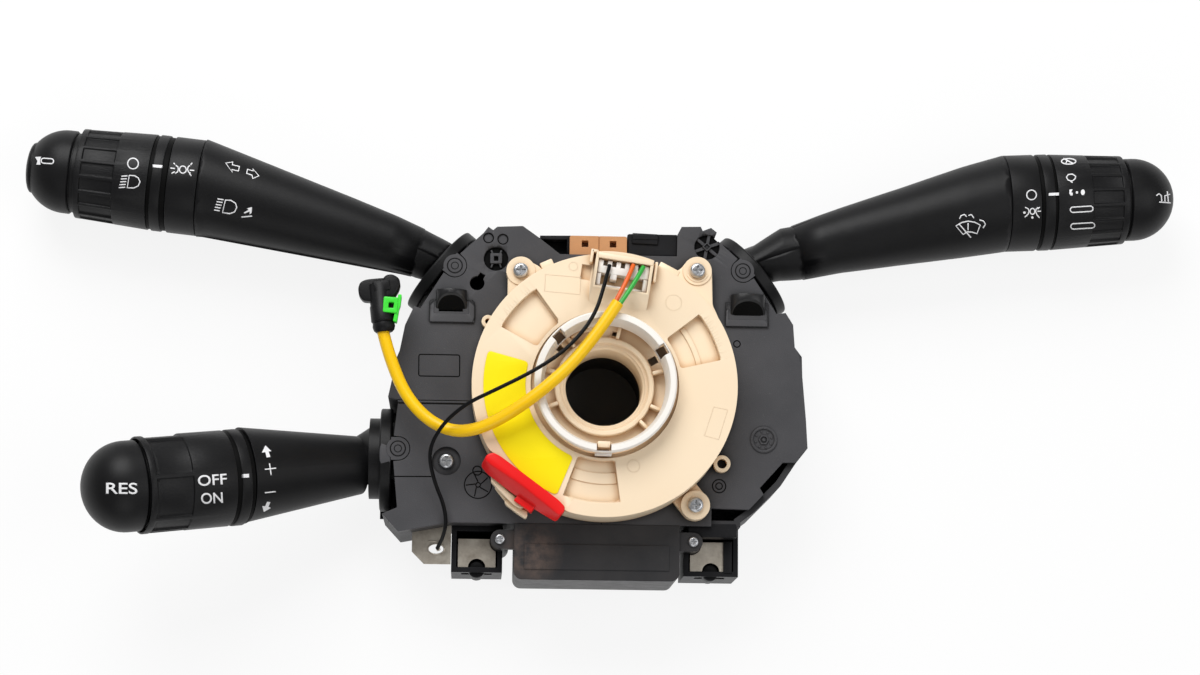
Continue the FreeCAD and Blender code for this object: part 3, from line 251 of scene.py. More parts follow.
nodeFinishes = {
    "housingPlastic": ["housing", "back_plate"], "stainedPlastic": ["bottom_cover"],
    "boxPlastic": ["connector_lid", "left_terminal_box", "right_terminal_box", "rear_connector_socket"],
    "coverPlastic": ["left_module_cover", "right_module_cover", "cruise_module_cover"],
    "brownPlastic": ["column_connector"], "boardGreen": ["circuit_board"], "ribbonFilm": ["ribbon_cable"],
    "nickelSheet": ["connector_pins", "ground_plate", "terminal_clips"],
    "zincSteel": ["clockspring_screws", "cover_screws"], "labelFilm": ["blank_label"],
    "creamPlastic": ["clockspring_base", "rotor_disc", "rotor_hub"], "whitePlastic": ["retaining_ring", "rotor_plug"],
    "stalkPlastic": ["squib_connector", "left_inner_ring", "right_inner_ring"], "greenPlastic": ["squib_lock"],
    "redPlastic": ["transport_lock"], "springSteel": [],
}
stalkParts = {"stalkPlastic": ["yoke", "lever", "index_ring", "knob", "end_button"],
              "springSteel": ["button_spring", "detent_spring"], "zincSteel": ["cross_pin", "detent_plunger"]}
for finish, parts in stalkParts.items():
    nodeFinishes[finish] += [f"{stalk}_{part}" for stalk in ("left", "right", "cruise") for part in parts]
for finish, names in nodeFinishes.items():
    for name in names:
        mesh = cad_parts[name].data
        mesh.materials.clear()
        mesh.materials.append(finishes[finish])
tongueEnd = 41.6
for stalk in ("left", "right", "cruise"):
    # the round ends of the pivot tongues, flush with the covers, are paler
    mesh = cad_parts[f"{stalk}_yoke"].data
    mesh.materials.append(finishes["coverPlastic"])
    for face in mesh.polygons:
        if face.center.z > tongueEnd * mm:
            face.material_index = 1
print("finishes set:", len(finishes))

# the two bodies that carry most of the pieces
rotor, shell = "clockspring_rotor", "housing_assembly"


def alone(piece):
    if bpy.context.object and bpy.context.object.mode != "OBJECT":
        bpy.ops.object.mode_set(mode="OBJECT")
    bpy.ops.object.select_all(action="DESELECT")
    piece.select_set(True)
    bpy.context.view_layer.objects.active = piece


def finished(piece, name, finish, body):
    piece.name = name
    piece.data.materials.clear()
    piece.data.materials.append(finishes[finish])
    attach(piece, body)
    return piece


# a lead's length is taken a little under its route's, since the curve cuts the corners; it is worked out for leads
# longer than shortestCord, but nothing is made of it
cordShare, shortestCord = 0.985, 0.03
leads = {
    "airbagLead": dict(node="airbag_lead", finish="yellowJacket", slot="yellow_sleeve", diameter=4.8, ends="object",
        stiffness="medium",
        route=[(4.2, 30.4, 70), (-8.3, 10.7, 71), (-28, -7.8, 71), (-47.9, -19.5, 64.5), (-62.4, -18.9, 58.5),
            (-76, -7.4, 56), (-84.4, 12.2, 54.5), (-86.9, 23, 54.5)]),
    "groundWire": dict(node="ground_wire", finish="blackJacket", slot="black_sleeve", diameter=1.5, ends="object",
        stiffness="limp",
        route=[(1.1, 46, 65.1), (-1.2, 36.5, 70.5), (-5, 24, 73.5), (-14.5, 11.8, 74), (-27, 3, 74),
            (-42, -4.6, 72.5), (-53.5, -9.8, 69.5), (-62.6, -17.6, 66.5), (-67.8, -26.5, 57), (-65.5, -37, 49),
            (-60.8, -47.5, 47), (-60.4, -56.5, 42.5), (-63.8, -61.5, 31.5)]),
    "orangeWire": dict(node="orange_wire", finish="orangeJacket", slot="orange_sleeve", diameter=1.8, ends="object",
        stiffness="limp", route=[(10.3, 46.3, 64.8), (7.9, 39.5, 69), (3.4, 31, 70)]),
    "greenWire": dict(node="green_wire", finish="greenJacket", slot="green_sleeve", diameter=1.8, ends="object",
        stiffness="limp", route=[(14.2, 45.6, 65), (10.8, 38.6, 69), (5.1, 30.1, 70)]),
}


def lay(name, lead):
    bpy.ops.object.select_all(action="DESELECT")
    curve = bpy.data.curves.new(name, "CURVE")
    curve.dimensions = "3D"
    spline = curve.splines.new("NURBS")
    spline.points.add(len(lead["route"]) - 1)
    for point, place in zip(spline.points, lead["route"]):
        point.co = (*(Vector(place) * mm), 1)
    spline.order_u = 3
    spline.use_endpoint_u = True
    spline.resolution_u = 16
    curve.bevel_depth = lead["diameter"] / 2 * mm
    curve.bevel_resolution = 6
    curve.use_fill_caps = True
    piece = bpy.data.objects.new(name, curve)
    bpy.context.scene.collection.objects.link(piece)
    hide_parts(lead["node"])
    return finished(piece, name, lead["finish"], rotor)


def lengthOf(route):
    return sum((Vector(b) - Vector(a)).length for a, b in zip(route, route[1:])) * mm


for name, lead in leads.items():
    piece = lay(name, lead)
    route = lead["route"]
    length = lengthOf(route) * cordShare
    if length > shortestCord:
        [v * mm for v in route[0]]
        lead["diameter"] * mm
        "connector" if name == "airbagLead" else lead["ends"]
print("leads laid:", len(leads))


# each stalk end is built round its own axis and then put at the arm's end
def axisFrame(centre, axis):
    along = Vector(axis).normalized()
    towards = (Vector((0, 0, 1)) - along * along.z).normalized()
    across = along.cross(towards)
    return Matrix(((towards.x, across.x, along.x, centre[0] * mm), (towards.y, across.y, along.y, centre[1] * mm),
                   (towards.z, across.z, along.z, centre[2] * mm), (0, 0, 0, 1))) @ Matrix.Scale(mm, 4)


def turnUp(rings, sides, hollow=False):
    # a ring of edges extruded and scaled level by level, as (radius, level) in millimetres
    bpy.ops.object.select_all(action="DESELECT")
    bpy.ops.mesh.primitive_circle_add(vertices=sides, radius=rings[0][0], location=(0, 0, rings[0][1]),
                                      fill_type="NOTHING" if hollow else "NGON")
    piece = bpy.context.object
    bpy.ops.object.transform_apply(location=True)
    bpy.ops.object.mode_set(mode="EDIT")
    bpy.ops.mesh.select_mode(type="VERT")
    bpy.ops.mesh.select_all(action="SELECT")
    for (was, low), (now, high) in zip(rings, rings[1:]):
        bpy.ops.mesh.extrude_region_move(TRANSFORM_OT_translate={"value": (0, 0, high - low)})
        if now > 0:
            bpy.ops.transform.resize(value=(now / was, now / was, 1), center_override=(0, 0, high))
        else:
            bpy.ops.mesh.merge(type="CENTER")
    if hollow:
        bpy.ops.mesh.select_all(action="DESELECT")
        bpy.ops.mesh.select_non_manifold(extend=False)
        bpy.ops.mesh.bridge_edge_loops()
    bpy.ops.mesh.select_all(action="SELECT")
    bpy.ops.mesh.remove_doubles(threshold=0.0001)
    bpy.ops.mesh.normals_make_consistent(inside=False)
    bpy.ops.object.mode_set(mode="OBJECT")
    return piece


def pickFaces(piece, chosen):
    # leaves the piece in edit mode with just those faces selected
    alone(piece)
    bpy.ops.object.mode_set(mode="EDIT")
    bpy.ops.mesh.select_mode(type="FACE")
    bpy.ops.mesh.select_all(action="DESELECT")
    mesh = bmesh.from_edit_mesh(piece.data)
    for face in mesh.faces:
        if chosen(face):
            face.select_set(True)
    bmesh.update_edit_mesh(piece.data)


def modify(piece, kind, **settings):
    alone(piece)
    made = piece.modifiers.new("change", kind)
    for key, value in settings.items():
        setattr(made, key, value)
    bpy.ops.object.modifier_apply(modifier=made.name)


def roundEdges(piece, width, segments=3, angle=30):
    modify(piece, "BEVEL", width=width, segments=segments, limit_method="ANGLE", angle_limit=math.radians(angle),
           harden_normals=False)


def smoothOver(piece, angle=32, weighted=False):
    alone(piece)
    bpy.ops.object.shade_smooth_by_angle(angle=math.radians(angle))
    if weighted:
        modify(piece, "WEIGHTED_NORMAL", keep_sharp=True)


toMetres = Matrix.Scale(mm, 4)


def setDown(piece, matrix):
    piece.data.transform(matrix)
    piece.data.update()


def dress(piece, name, finish, body, node=None, place=toMetres, angle=32, weighted=False):
    # shades the piece smooth up to that angle, brings it to its place in metres and hands it over
    if angle:
        smoothOver(piece, angle, weighted)
    setDown(piece, place)
    if node:
        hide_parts(node)
    return finished(piece, name, finish, body)


stalkEnds = {
    "left": dict(centre=(-161.338, 83.4, 20.5), axis=(-0.99452, 0.10453, 0), ringWidth=11.9, indexBand=(14.4, 18.4),
        neck=2.4, knob=(19.9, 49.2), radius=19.4, knobEndRadius=18, flutes=18, gripLength=13.2, gripTurn=3,
        dome="capped", skirt=3, swell=0.98, body="left_lever_body"),
    "right": dict(centre=(163.410, 83.703, 20.5), axis=(0.99863, 0.05234, 0), ringWidth=11.9, indexBand=(13.7, 17.9),
        neck=1.4, knob=(19, 48.4), radius=19.6, knobEndRadius=18, flutes=18, gripLength=12.6, gripTurn=-4,
        dome="round", skirt=3.4, swell=1, body="right_lever_body"),
    "cruise": dict(centre=(-140.239, -35.6, 39.668), axis=(-0.91627, -0.14185, 0.37461), ringWidth=0,
        indexBand=(1.7, 5.9), neck=0.5, knob=(7.6, 41.8), radius=18.8, knobEndRadius=18.8, flutes=13, gripLength=14.5,
        gripTurn=0, dome="round", skirt=4.6, swell=0.95, body="cruise_yoke_body"),
}
stalkLevel = 20.5
# how far each arm is carried over and thickened against the plain cone, as (place along x, shift, scale)
armShape = {
    "left": dict(name="leftArm", axis=(-161.3, 82.9, -0.29),
        stations=[(-165, 0, 1), (-159, 1, 1), (-100, 1.2, 1), (-82, 1, 1), (-68, 0, 1)]),
    "right": dict(name="rightArm", axis=(163.4, 83.3, 0.29),
        stations=[(60, 0, 1), (72, 3.7, 1.18), (80.4, 3.73, 1.18), (96.7, 3.56, 1.107), (121, 2.3, 1.06),
            (146, 1.1, 1.04), (162, 0, 1)]),
}
knobShape = dict(
    gap=0.3, bore=11.05, wall=2.2, web=2.2, recess=3.8, fluteDepth=0.75, sidesPerFlute=6, rimWidth=2.4,
    edgeRound=0.35, stemRadius=6, stemLength=14.9, travel=2.5, capRadius=10.6, capLift=0.7, capHeight=2.6,
    groove=0.55, neckRadius=16, slack=0.1, rimWall=0.8, skin=0.6, padEdge=0.22, padAngle=28, domeInset=1.25,
    neckEdge=0.4, neckStep=0.7, skirtEdge=0.5, lastBend=84, bends=14, capBends=6, capGap=(0.15, 0.45), tipRise=0.08,
    sides=96,
)


def turnedRing(radius, start, finish, edge=None):
    bore = knobShape["bore"]
    piece = turnUp([(bore, start), (radius, start), (radius, finish), (bore, finish)], 108, hollow=True)
    roundEdges(piece, edge or knobShape["edgeRound"])
    return piece


def gripKnob(end):
    k = knobShape
    bore, web, rim, wall = k["bore"], k["web"], k["rimWidth"], k["rimWall"]
    start, finish = end["knob"]
    outer, inner = end["knobEndRadius"], end["radius"] - k["slack"]
    gripStart, floor = finish - rim - end["gripLength"], finish - k["recess"]
    slope = (inner - outer) / (finish - start)
    hollow = outer - k["wall"] - k["fluteDepth"]
    rings = [(bore, start), (inner, start), (outer + slope * (finish - gripStart), gripStart),
             (outer + slope * rim, finish - rim), (outer, finish), (outer - wall, finish), (outer - wall, floor),
             (bore, floor), (bore, floor - web), (hollow, floor - web), (hollow, start + web), (bore, start + web)]
    sides = end["flutes"] * k["sidesPerFlute"]
    piece = turnUp(rings, sides, hollow=True)
    step = 2 * math.pi / sides

    def isPad(face):
        at = face.calc_center_median()
        if not gripStart < at.z < finish - rim or at.xy.length < hollow + k["skin"]:
            return False
        number = int(math.floor((math.atan2(at.y, at.x) % (2 * math.pi)) / step))
        return number % k["sidesPerFlute"] != 0

    pickFaces(piece, isPad)
    bpy.ops.mesh.inset(thickness=k["padEdge"], depth=-k["fluteDepth"], use_even_offset=True)
    bpy.ops.object.mode_set(mode="OBJECT")
    roundEdges(piece, k["padEdge"], 2, k["padAngle"])
    piece.data.transform(Matrix.Rotation(math.radians(end["gripTurn"]), 4, "Z"))
    return piece


def domeButton(end):
    k = knobShape
    knobEnd = end["knob"][1]
    base = knobEnd - k["recess"] + k["travel"]
    radius = end["knobEndRadius"] - k["domeInset"]
    low = knobEnd + end["neck"]
    level = low + end["skirt"]
    stem, neck, narrow = k["stemRadius"], k["neckRadius"], k["neckRadius"] - k["neckStep"]
    rings = [(stem, base - k["stemLength"]), (stem, base), (neck - k["neckEdge"], base), (neck, base + k["neckEdge"]),
             (neck, low - k["neckStep"]), (narrow, low - 0.6), (narrow, low), (radius - k["skirtEdge"], low),
             (radius, low + k["skirtEdge"]), (radius, level)]
    last = k["lastBend"] if end["dome"] == "round" else math.degrees(math.acos(k["capRadius"] / radius))
    for step in range(1, k["bends"] + 1):
        bend = math.radians(last * step / k["bends"])
        rings.append((radius * math.cos(bend), level + end["swell"] * radius * math.sin(bend)))
    if end["dome"] == "capped":
        # the tip is a flatter cap that stands up out of a fine groove
        edge = rings[-1][1]
        lip, cap = (k["capRadius"] - gap for gap in k["capGap"])
        rings += [(lip, edge - 0.5), (cap, edge - 0.5), (cap, edge + k["capLift"])]
        for step in range(1, k["capBends"] + 1):
            bend = math.radians(14 * step)
            rings.append((cap * math.cos(bend), edge + k["capLift"] + k["capHeight"] * math.sin(bend)))
    rings.append((0, rings[-1][1] + k["tipRise"]))
    return turnUp(rings, k["sides"])


print("stalk ends begin")
for stalk, end in stalkEnds.items():
    at = axisFrame(end["centre"], end["axis"])
    start = knobShape["gap"]
    if end["ringWidth"]:
        ring = turnedRing(end["radius"], start, start + end["ringWidth"])
        dress(ring, f"{stalk}RingSwitch", "stalkPlastic", f"{stalk}_ring_body",
              f"{stalk}_inner_ring", place=at)
        start += end["ringWidth"] + 0.2
    # painted shade: the sleeve that fills the grooves between ring, index band and knob is near black
    sleeve = turnedRing(end["radius"] - knobShape["groove"], start, end["knob"][0] - 0.1, 0.1)
    dress(sleeve, f"{stalk}IndexSleeve", "paintedShadeBlack", end["body"], place=at)
    index = turnedRing(end["radius"], *end["indexBand"])
    dress(index, f"{stalk}IndexBand", "stalkPlastic", end["body"], f"{stalk}_index_ring", place=at)
    knob = gripKnob(end)
    dress(knob, f"{stalk}GripKnob", "gripPlastic", f"{stalk}_knob_body", f"{stalk}_knob", place=at)
    tip = domeButton(end)
    dress(tip, f"{stalk}Dome", "stalkPlastic", f"{stalk}_button_body", f"{stalk}_end_button",
          place=at, angle=40)
print("stalk ends done")


def linked(name, data):
    piece = bpy.data.objects.new(name, data)
    bpy.context.scene.collection.objects.link(piece)
    return piece


def asMesh(piece):
    alone(piece)
    bpy.ops.object.convert(target="MESH")
    return bpy.context.object


def tidyShell(piece, merge=0.0005):
    # merges doubles and turns the faces outward
    alone(piece)
    bpy.ops.object.mode_set(mode="EDIT")
    bpy.ops.mesh.select_all(action="SELECT")
    if merge:
        bpy.ops.mesh.remove_doubles(threshold=merge)
    bpy.ops.mesh.normals_make_consistent(inside=False)
    bpy.ops.object.mode_set(mode="OBJECT")
    return piece


def plateOf(loops, low, high, edge=0.0):
    # a flat outline with holes, given its thickness and rounded edges; all in millimetres
    curve = bpy.data.curves.new("outline", "CURVE")
    curve.dimensions = "2D"
    curve.fill_mode = "BOTH"
    curve.extrude = (high - low) / 2 - edge
    curve.bevel_depth = edge
    curve.bevel_resolution = 2
    curve.offset = -edge
    for loop in loops:
        spline = curve.splines.new("POLY")
        spline.points.add(len(loop) - 1)
        for point, (x, y) in zip(spline.points, loop):
            point.co = (x, y, 0, 1)
        spline.use_cyclic_u = True
    piece = asMesh(linked("plate", curve))
    piece.data.transform(Matrix.Translation((0, 0, (low + high) / 2)))
    return tidyShell(piece)


def circleLoop(x, y, radius, sides=32, squash=1.0):
    return [(x + radius * math.cos(2 * math.pi * i / sides), y + radius * squash * math.sin(2 * math.pi * i / sides))
            for i in range(sides)]


def arcLoop(inner, outer, span, steps=16):
    angles = [math.radians(span[0] + (span[1] - span[0]) * i / steps) for i in range(steps + 1)]
    return [(outer * math.cos(a), outer * math.sin(a)) for a in angles] + \
           [(inner * math.cos(a), inner * math.sin(a)) for a in reversed(angles)]


def round2d(angle, radius):
    return radius * math.cos(math.radians(angle)), radius * math.sin(math.radians(angle))


def sectorLoop(inner, outer, span, corner, steps=24):
    # a ring sector with rounded corners
    low, high = span
    turnOut, turnIn = math.degrees(corner / outer), math.degrees(corner / inner)
    loop = [round2d(low + turnOut + (high - low - 2 * turnOut) * i / steps, outer) for i in range(steps + 1)]
    loop += bendOver(round2d(high - turnOut, outer), round2d(high, outer), round2d(high, outer - corner))
    loop += bendOver(round2d(high, inner + corner), round2d(high, inner), round2d(high - turnIn, inner))
    loop += [round2d(high - turnIn - (high - low - 2 * turnIn) * i / steps, inner) for i in range(1, steps + 1)]
    loop += bendOver(round2d(low + turnIn, inner), round2d(low, inner), round2d(low, inner + corner))
    return loop + bendOver(round2d(low, outer - corner), round2d(low, outer), round2d(low + turnOut, outer))[:-1]


def bendOver(start, corner, end, steps=4):
    start, corner, end = Vector(start), Vector(corner), Vector(end)
    places = [i / steps for i in range(1, steps + 1)]
    return [tuple(start * (1 - t) ** 2 + corner * 2 * t * (1 - t) + end * t * t) for t in places]


def copyOf(node):
    # the CAD node's own shape as a closed mesh in millimetres
    piece = linked(f"{node}Copy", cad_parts[node].data.copy())
    piece.data.transform(Matrix.Scale(1 / mm, 4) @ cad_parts[node].matrix_world)
    return tidyShell(piece)


def softCorners(points, radius, steps=5):
    # the outline with each corner turned into a short arc
    rounded = []
    for before, corner, after in zip(points[-1:] + points[:-1], points, points[1:] + points[:1]):
        corner = Vector(corner)
        into, out = (Vector(before) - corner), (Vector(after) - corner)
        reach = min(radius, into.length / 2.2, out.length / 2.2)
        start, end = corner + into.normalized() * reach, corner + out.normalized() * reach
        rounded += [tuple(start), *bendOver(start, corner, end, steps)]
    return rounded


def block(centre, size, turn=0.0, edge=0.0):
    bpy.ops.object.select_all(action="DESELECT")
    bpy.ops.mesh.primitive_cube_add(size=1, location=centre, rotation=(0, 0, math.radians(turn)), scale=size)
    piece = bpy.context.object
    bpy.ops.object.transform_apply(location=True, rotation=True, scale=True)
    if edge:
        roundEdges(piece, edge, 2)
    return piece


def spoke(angle, radius, level, size, edge=0.0):
    # a block that faces the axis
    return block((*round2d(angle, radius), level), size, angle, edge)


def turnedAt(x, y, turn, level=0):
    return Matrix.Translation((x, y, level)) @ Matrix.Rotation(math.radians(turn), 4, "Z")


def cutAway(piece, cutters):
    for cutter in cutters:
        modify(piece, "BOOLEAN", operation="DIFFERENCE", solver="EXACT", object=cutter)
        bpy.data.objects.remove(cutter)
    return piece


def joinUp(pieces):
    bpy.ops.object.select_all(action="DESELECT")
    for piece in pieces:
        piece.select_set(True)
    bpy.context.view_layer.objects.active = pieces[0]
    if len(pieces) > 1:
        bpy.ops.object.join()
    return pieces[0]


def ribbon(points, width, closed=False, level=0.0):
    # a flat line of even width
    curve = bpy.data.curves.new("stroke", "CURVE")
    curve.dimensions = "3D"
    curve.twist_mode = "Z_UP"
    curve.extrude = width / 2
    spline = curve.splines.new("POLY")
    spline.points.add(len(points) - 1)
    for point, (x, y) in zip(spline.points, points):
        point.co = (x, y, level, 1)
        point.tilt = math.pi / 2
    spline.use_cyclic_u = closed
    return asMesh(linked("stroke", curve))


def thicken(piece, depth, merge=0.0005):
    modify(piece, "SOLIDIFY", thickness=depth, offset=0)
    return tidyShell(piece, merge)


def raised(strokes, width, level, height=0.12):
    # thin raised lines on a flat face, as (points, closed)
    lines = [ribbon(points, width, closed, level) for points, closed in strokes]
    return thicken(joinUp(lines), height)


# the clock spring: white ring, hub, key, receptacle and the marks moulded in the disc
springShape = dict(
    ringSides=144,
    ringProfile=[(23.5, 57.6), (25.4, 57.6), (25.4, 63.4), (27.4, 64.4), (27.5, 67.4), (26.9, 68.2), (24.9, 68.2),
        (24.2, 66.6), (23.5, 62)], ringNotches=[(136, 4.6), (30, 4.4), (-91, 5.6)],
    hubProfile=[(15, 33), (17.3, 33), (17.3, 50), (28.7, 50), (28.7, 56.4), (28.5, 56.6), (26.8, 56.6), (26.8, 52),
        (19.4, 52), (19.4, 55.1), (19, 55.5), (17.7, 55.5), (17.3, 55.1), (17.2, 53.9), (16.9, 53.6), (16, 53.5),
        (15.7, 52.6), (15.2, 52.2), (15, 51.8)],
    ribs=[(75.8, 58.4), (15.7, 57.6), (-22.9, 57.6), (-44.4, 57.6), (-158.9, 57.6), (128, 57.6), (165, 57.6)],
    ribWidth=1.3, walls=[((42, 72), 24.6, 25.6, 58.2), ((106, 125), 22.6, 23.6, 56.6)],
    windows=[(139, 22.3, 3.4, 2.6), (29.7, 21.9, 3.4, 3), (78, 21.6, 1.6, 3)],
    frames=[[(-23.6, 42.9), (-9.8, 42), (-10.1, 35.2), (-23.8, 36.3)], [(42.2, -8), (47.6, -9.1), (44.1, -20.7),
        (38.6, -19.3)]], circles=[(-12.8, 46.3, 1.7), (26.4, 32.7, 3.1), (11.3, -31.5, 2.4)],
    pockets=[(30, 46.2, (126.6, 151.2)), (30, 46.2, (13, 38)), (29.6, 45.4, (-110, -82))], pocketFloor=56.6,
    panFloor=55.4, strips=[(36.6, 38.6, (13.4, 37.6)), (34.2, 38.4, (-109.6, -82.4))],
    label=(30.7, 47, (164.4, 247.3)),
    ears=[[(-38.1, 33), (-38.1, 46.9), (-37.6, 48.8), (-36, 50.4), (-32.6, 51.3), (-30.2, 51), (-25.7, 48.6),
        (-20, 43)], [(20, 43), (30.1, 48.8), (32.2, 51.6), (36.4, 53), (39.4, 52.2), (41.6, 50.2), (42.4, 47.6),
        (42.7, 34.4), (45.2, 29), (40, 28)]], hooks=[(114.7, 5.2), (62.3, 8.6)], crescent=(36.6, 47.8),
    notchCut=(24.8, 63.5, 4.2, 9.4), ringFoot=(-91, 27.2, 60.4, (1.6, 6.6, 4.4), 0.4), pane=(25.3, 61.4, 3.4, 0.6),
    paneGap=0.4, windowLevel=51, windowHeight=4, ribFoot=51.5, ribRadius=22.9, ribLength=7.2, ribEdge=0.25,
    hubTab=(-91, 24.3, 60, (2.6, 5, 14), 0.4), pocketTop=66, pocketEdge=1.1, panRim=(0.6, 1.2, 1.5), panLap=0.25,
    stripHeight=0.8, face=60, labelHeights=(60, 60.28, 0.08), earHeights=(44.4, 47.6, 0.4),
    hookSize=(52.4, 46.6, 7, 2.6, 0.4), markWidth=0.28, markHeight=0.1, crescentArc=(3.7, 4.5, (-160, -20)),
    crescentHeights=(47.8, 48.25, 0.1),
)


def buildSpring():
    s = springShape
    ring = turnUp(s["ringProfile"], s["ringSides"], hollow=True)
    radius, level, deep, tall = s["notchCut"]
    cutAway(ring, [spoke(angle, radius, level, (deep, width, tall)) for angle, width in s["ringNotches"]])
    ring = joinUp([ring, spoke(*s["ringFoot"])])
    # painted shade: dark brown panes close two of the ring's notches, standing for the shade inside them
    radius, level, deep, tall = s["pane"]
    panes = joinUp([spoke(angle, radius, level, (deep, width - s["paneGap"], tall))
                    for angle, width in s["ringNotches"][:2]])
    dress(panes, "ringNotchShades", "notchShadeBrown", rotor, angle=None)
    dress(ring, "whiteRing", "whitePlastic", rotor, "retaining_ring")

    hub = turnUp(s["hubProfile"], s["ringSides"], hollow=True)
    cutAway(hub, [spoke(angle, radius, s["windowLevel"], (wide, deep, s["windowHeight"]))
                  for angle, radius, wide, deep in s["windows"]])
    foot = s["ribFoot"]
    ribs = [spoke(angle, s["ribRadius"], (foot + high) / 2, (s["ribLength"], s["ribWidth"], high - foot), s["ribEdge"])
            for angle, high in s["ribs"]]
    walls = [plateOf([arcLoop(inner, outer, span)], foot, high, 0.2) for span, inner, outer, high in s["walls"]]
    hub = joinUp([hub, *ribs, *walls, spoke(*s["hubTab"])])
    dress(hub, "splinedHub", "creamPlastic", rotor, "rotor_hub")

    # the pockets go right through the disc's plate, and a pan under each carries its floor and strip
    disc = copyOf("rotor_disc")
    cutAway(disc, [plateOf([sectorLoop(inner, outer, span, 1.4)], s["pocketFloor"], s["pocketTop"], s["pocketEdge"])
                   for inner, outer, span in s["pockets"]])
    inward, outward, sideways = s["panRim"]
    pans = [plateOf([sectorLoop(inner - inward, outer + outward, (low - sideways, high + sideways), 1.0)],
                    s["panFloor"], s["pocketFloor"] + s["panLap"]) for inner, outer, (low, high) in s["pockets"]]
    pans += [plateOf([arcLoop(inner, outer, span)], s["panFloor"], s["pocketFloor"] + s["stripHeight"], 0.2)
             for inner, outer, span in s["strips"]]
    disc = joinUp([disc, *pans])
    dress(disc, "pocketedDisc", "creamPlastic", rotor, "rotor_disc", angle=24, weighted=True)

    label = plateOf([sectorLoop(*s["label"], 1.8)], *s["labelHeights"])
    dress(label, "yellowLabel", "labelFilm", rotor, "blank_label")

    ears = [plateOf([softCorners(loop, 0.8, 2)], *s["earHeights"]) for loop in s["ears"]]
    radius, level, deep, tall, edge = s["hookSize"]
    ears += [spoke(angle, radius, level, (deep, width, tall), edge) for angle, width in s["hooks"]]
    dress(joinUp(ears), "earPlates", "creamPlastic", shell)

    marks = [(loop, True) for loop in s["frames"]]
    marks += [(circleLoop(x, y, r, 28), True) for x, y, r in s["circles"]]
    marks = raised(marks, s["markWidth"], s["face"], s["markHeight"])
    dress(marks, "discMarks", "creamPlastic", rotor)

    x, y = s["crescent"]
    crescent = plateOf([[(x + px, y + py) for px, py in arcLoop(*s["crescentArc"])]], *s["crescentHeights"])
    dress(crescent, "earCrescent", "creamPlastic", shell)


keyShape = dict(
    centre=(-30.8, -39.4), turn=142, top=64.5, waist=57.4,
    head=[(17.4, 2.2), (18.1, 0.4), (16.6, -1.9), (13.5, -2.5), (5, -2.8), (-7.8, -3.2), (-14.6, -3.3), (-17.8, -2.8),
        (-18.8, -1.4), (-18.4, 1.2), (-11, 1), (2, 1.1), (14.2, 2.4)], lean=4.3, leanLoss=1.9,
    foot=[(-13.5, -2.15), (13.5, -2.15), (13.5, 2.1), (-13.5, 2.1)],
    tongue=[(-8.8, -2), (-0.6, -2), (-0.6, 7), (-8.8, 6.4)],
    leaves=[(51, 56.2, [(-43.3, -34.8), (-39.3, -38.8), (-36.4, -41.8), (-32.8, -44.2), (-31.2, -45.6),
        (-30.2, -45.6), (-29.3, -46.3), (-30.5, -47.7), (-31.9, -48.1), (-34, -47.1), (-37.1, -44.4), (-40.2, -41.3),
        (-43.4, -37.9)]), (48.6, 53.4, [(-38.1, -44.9), (-37.3, -44.2), (-34, -46.2), (-31.2, -48), (-29.1, -48.7),
        (-29.1, -50.9), (-29.9, -51.7), (-33.2, -49.6), (-37.7, -46.2)]), (48.8, 53, [(-42, -39.8), (-41.3, -38.6),
        (-35.6, -43), (-37.6, -45), (-38.7, -43.9)])], headEdge=0.55, halfLength=18, footLow=52.2, tongueLow=51.6,
    lap=1.2, edge=0.3,
)


def buildKey():
    # the red key: a head whose front leans out, on a foot held by the two leaves of a cream clip
    k = keyShape
    head = plateOf([softCorners(k["head"], 1.0, 3)], k["waist"], k["top"], k["headEdge"])
    for vertex in head.data.vertices:
        lift = (k["top"] - vertex.co.z) / (k["top"] - k["waist"])
        if vertex.co.y > 0:
            vertex.co.y += lift * (k["lean"] - k["leanLoss"] * (vertex.co.x / k["halfLength"]) ** 2)
    foot = plateOf([softCorners(k["foot"], 0.8)], k["footLow"], k["waist"] + k["lap"], k["edge"])
    tongue = plateOf([softCorners(k["tongue"], 0.6)], k["tongueLow"], k["waist"] + k["lap"], k["edge"])
    key = joinUp([head, foot, tongue])
    key.data.transform(turnedAt(*k["centre"], k["turn"]))
    dress(key, "transportKey", "redPlastic", rotor, "transport_lock", angle=40)

    leaves = joinUp([plateOf([softCorners(loop, 0.5, 2)], low, high, k["edge"]) for low, high, loop in k["leaves"]])
    dress(leaves, "clipLeaves", "creamPlastic", rotor)


plugShape = dict(
    centre=(6.2, 42.1), turn=-8, half=(10, 5.35), floor=58.2, top=64.2, slots=[-8, -4.6, -1.2, 2.2, 5.6],
    slotWidth=1.7, comb=(0, 2.6, 5.2), slotCut=(0.8, 4.4, 1.2, 3, 4.4), end=(0.9, -2.4, 61, (1.7, 5, 5.6)), edge=0.25,
    rail=(-4.5, 59.9, 3, 1.2, 3.2), post=((-3.4, -0.6, 61.2), (2.6, 3.2, 5.8)), latchEdge=0.3,
    latch=[((-12.9, 6.2, 61.6), (1.2, 5.4, 5)), ((-11.9, 8.2, 61.6), (2.6, 1.2, 5)), ((12.4, 3.6, 61.6), (1.2, 8, 5)),
        ((0.3, 6.6, 65.3), (21.6, 2.2, 0.9))],
)


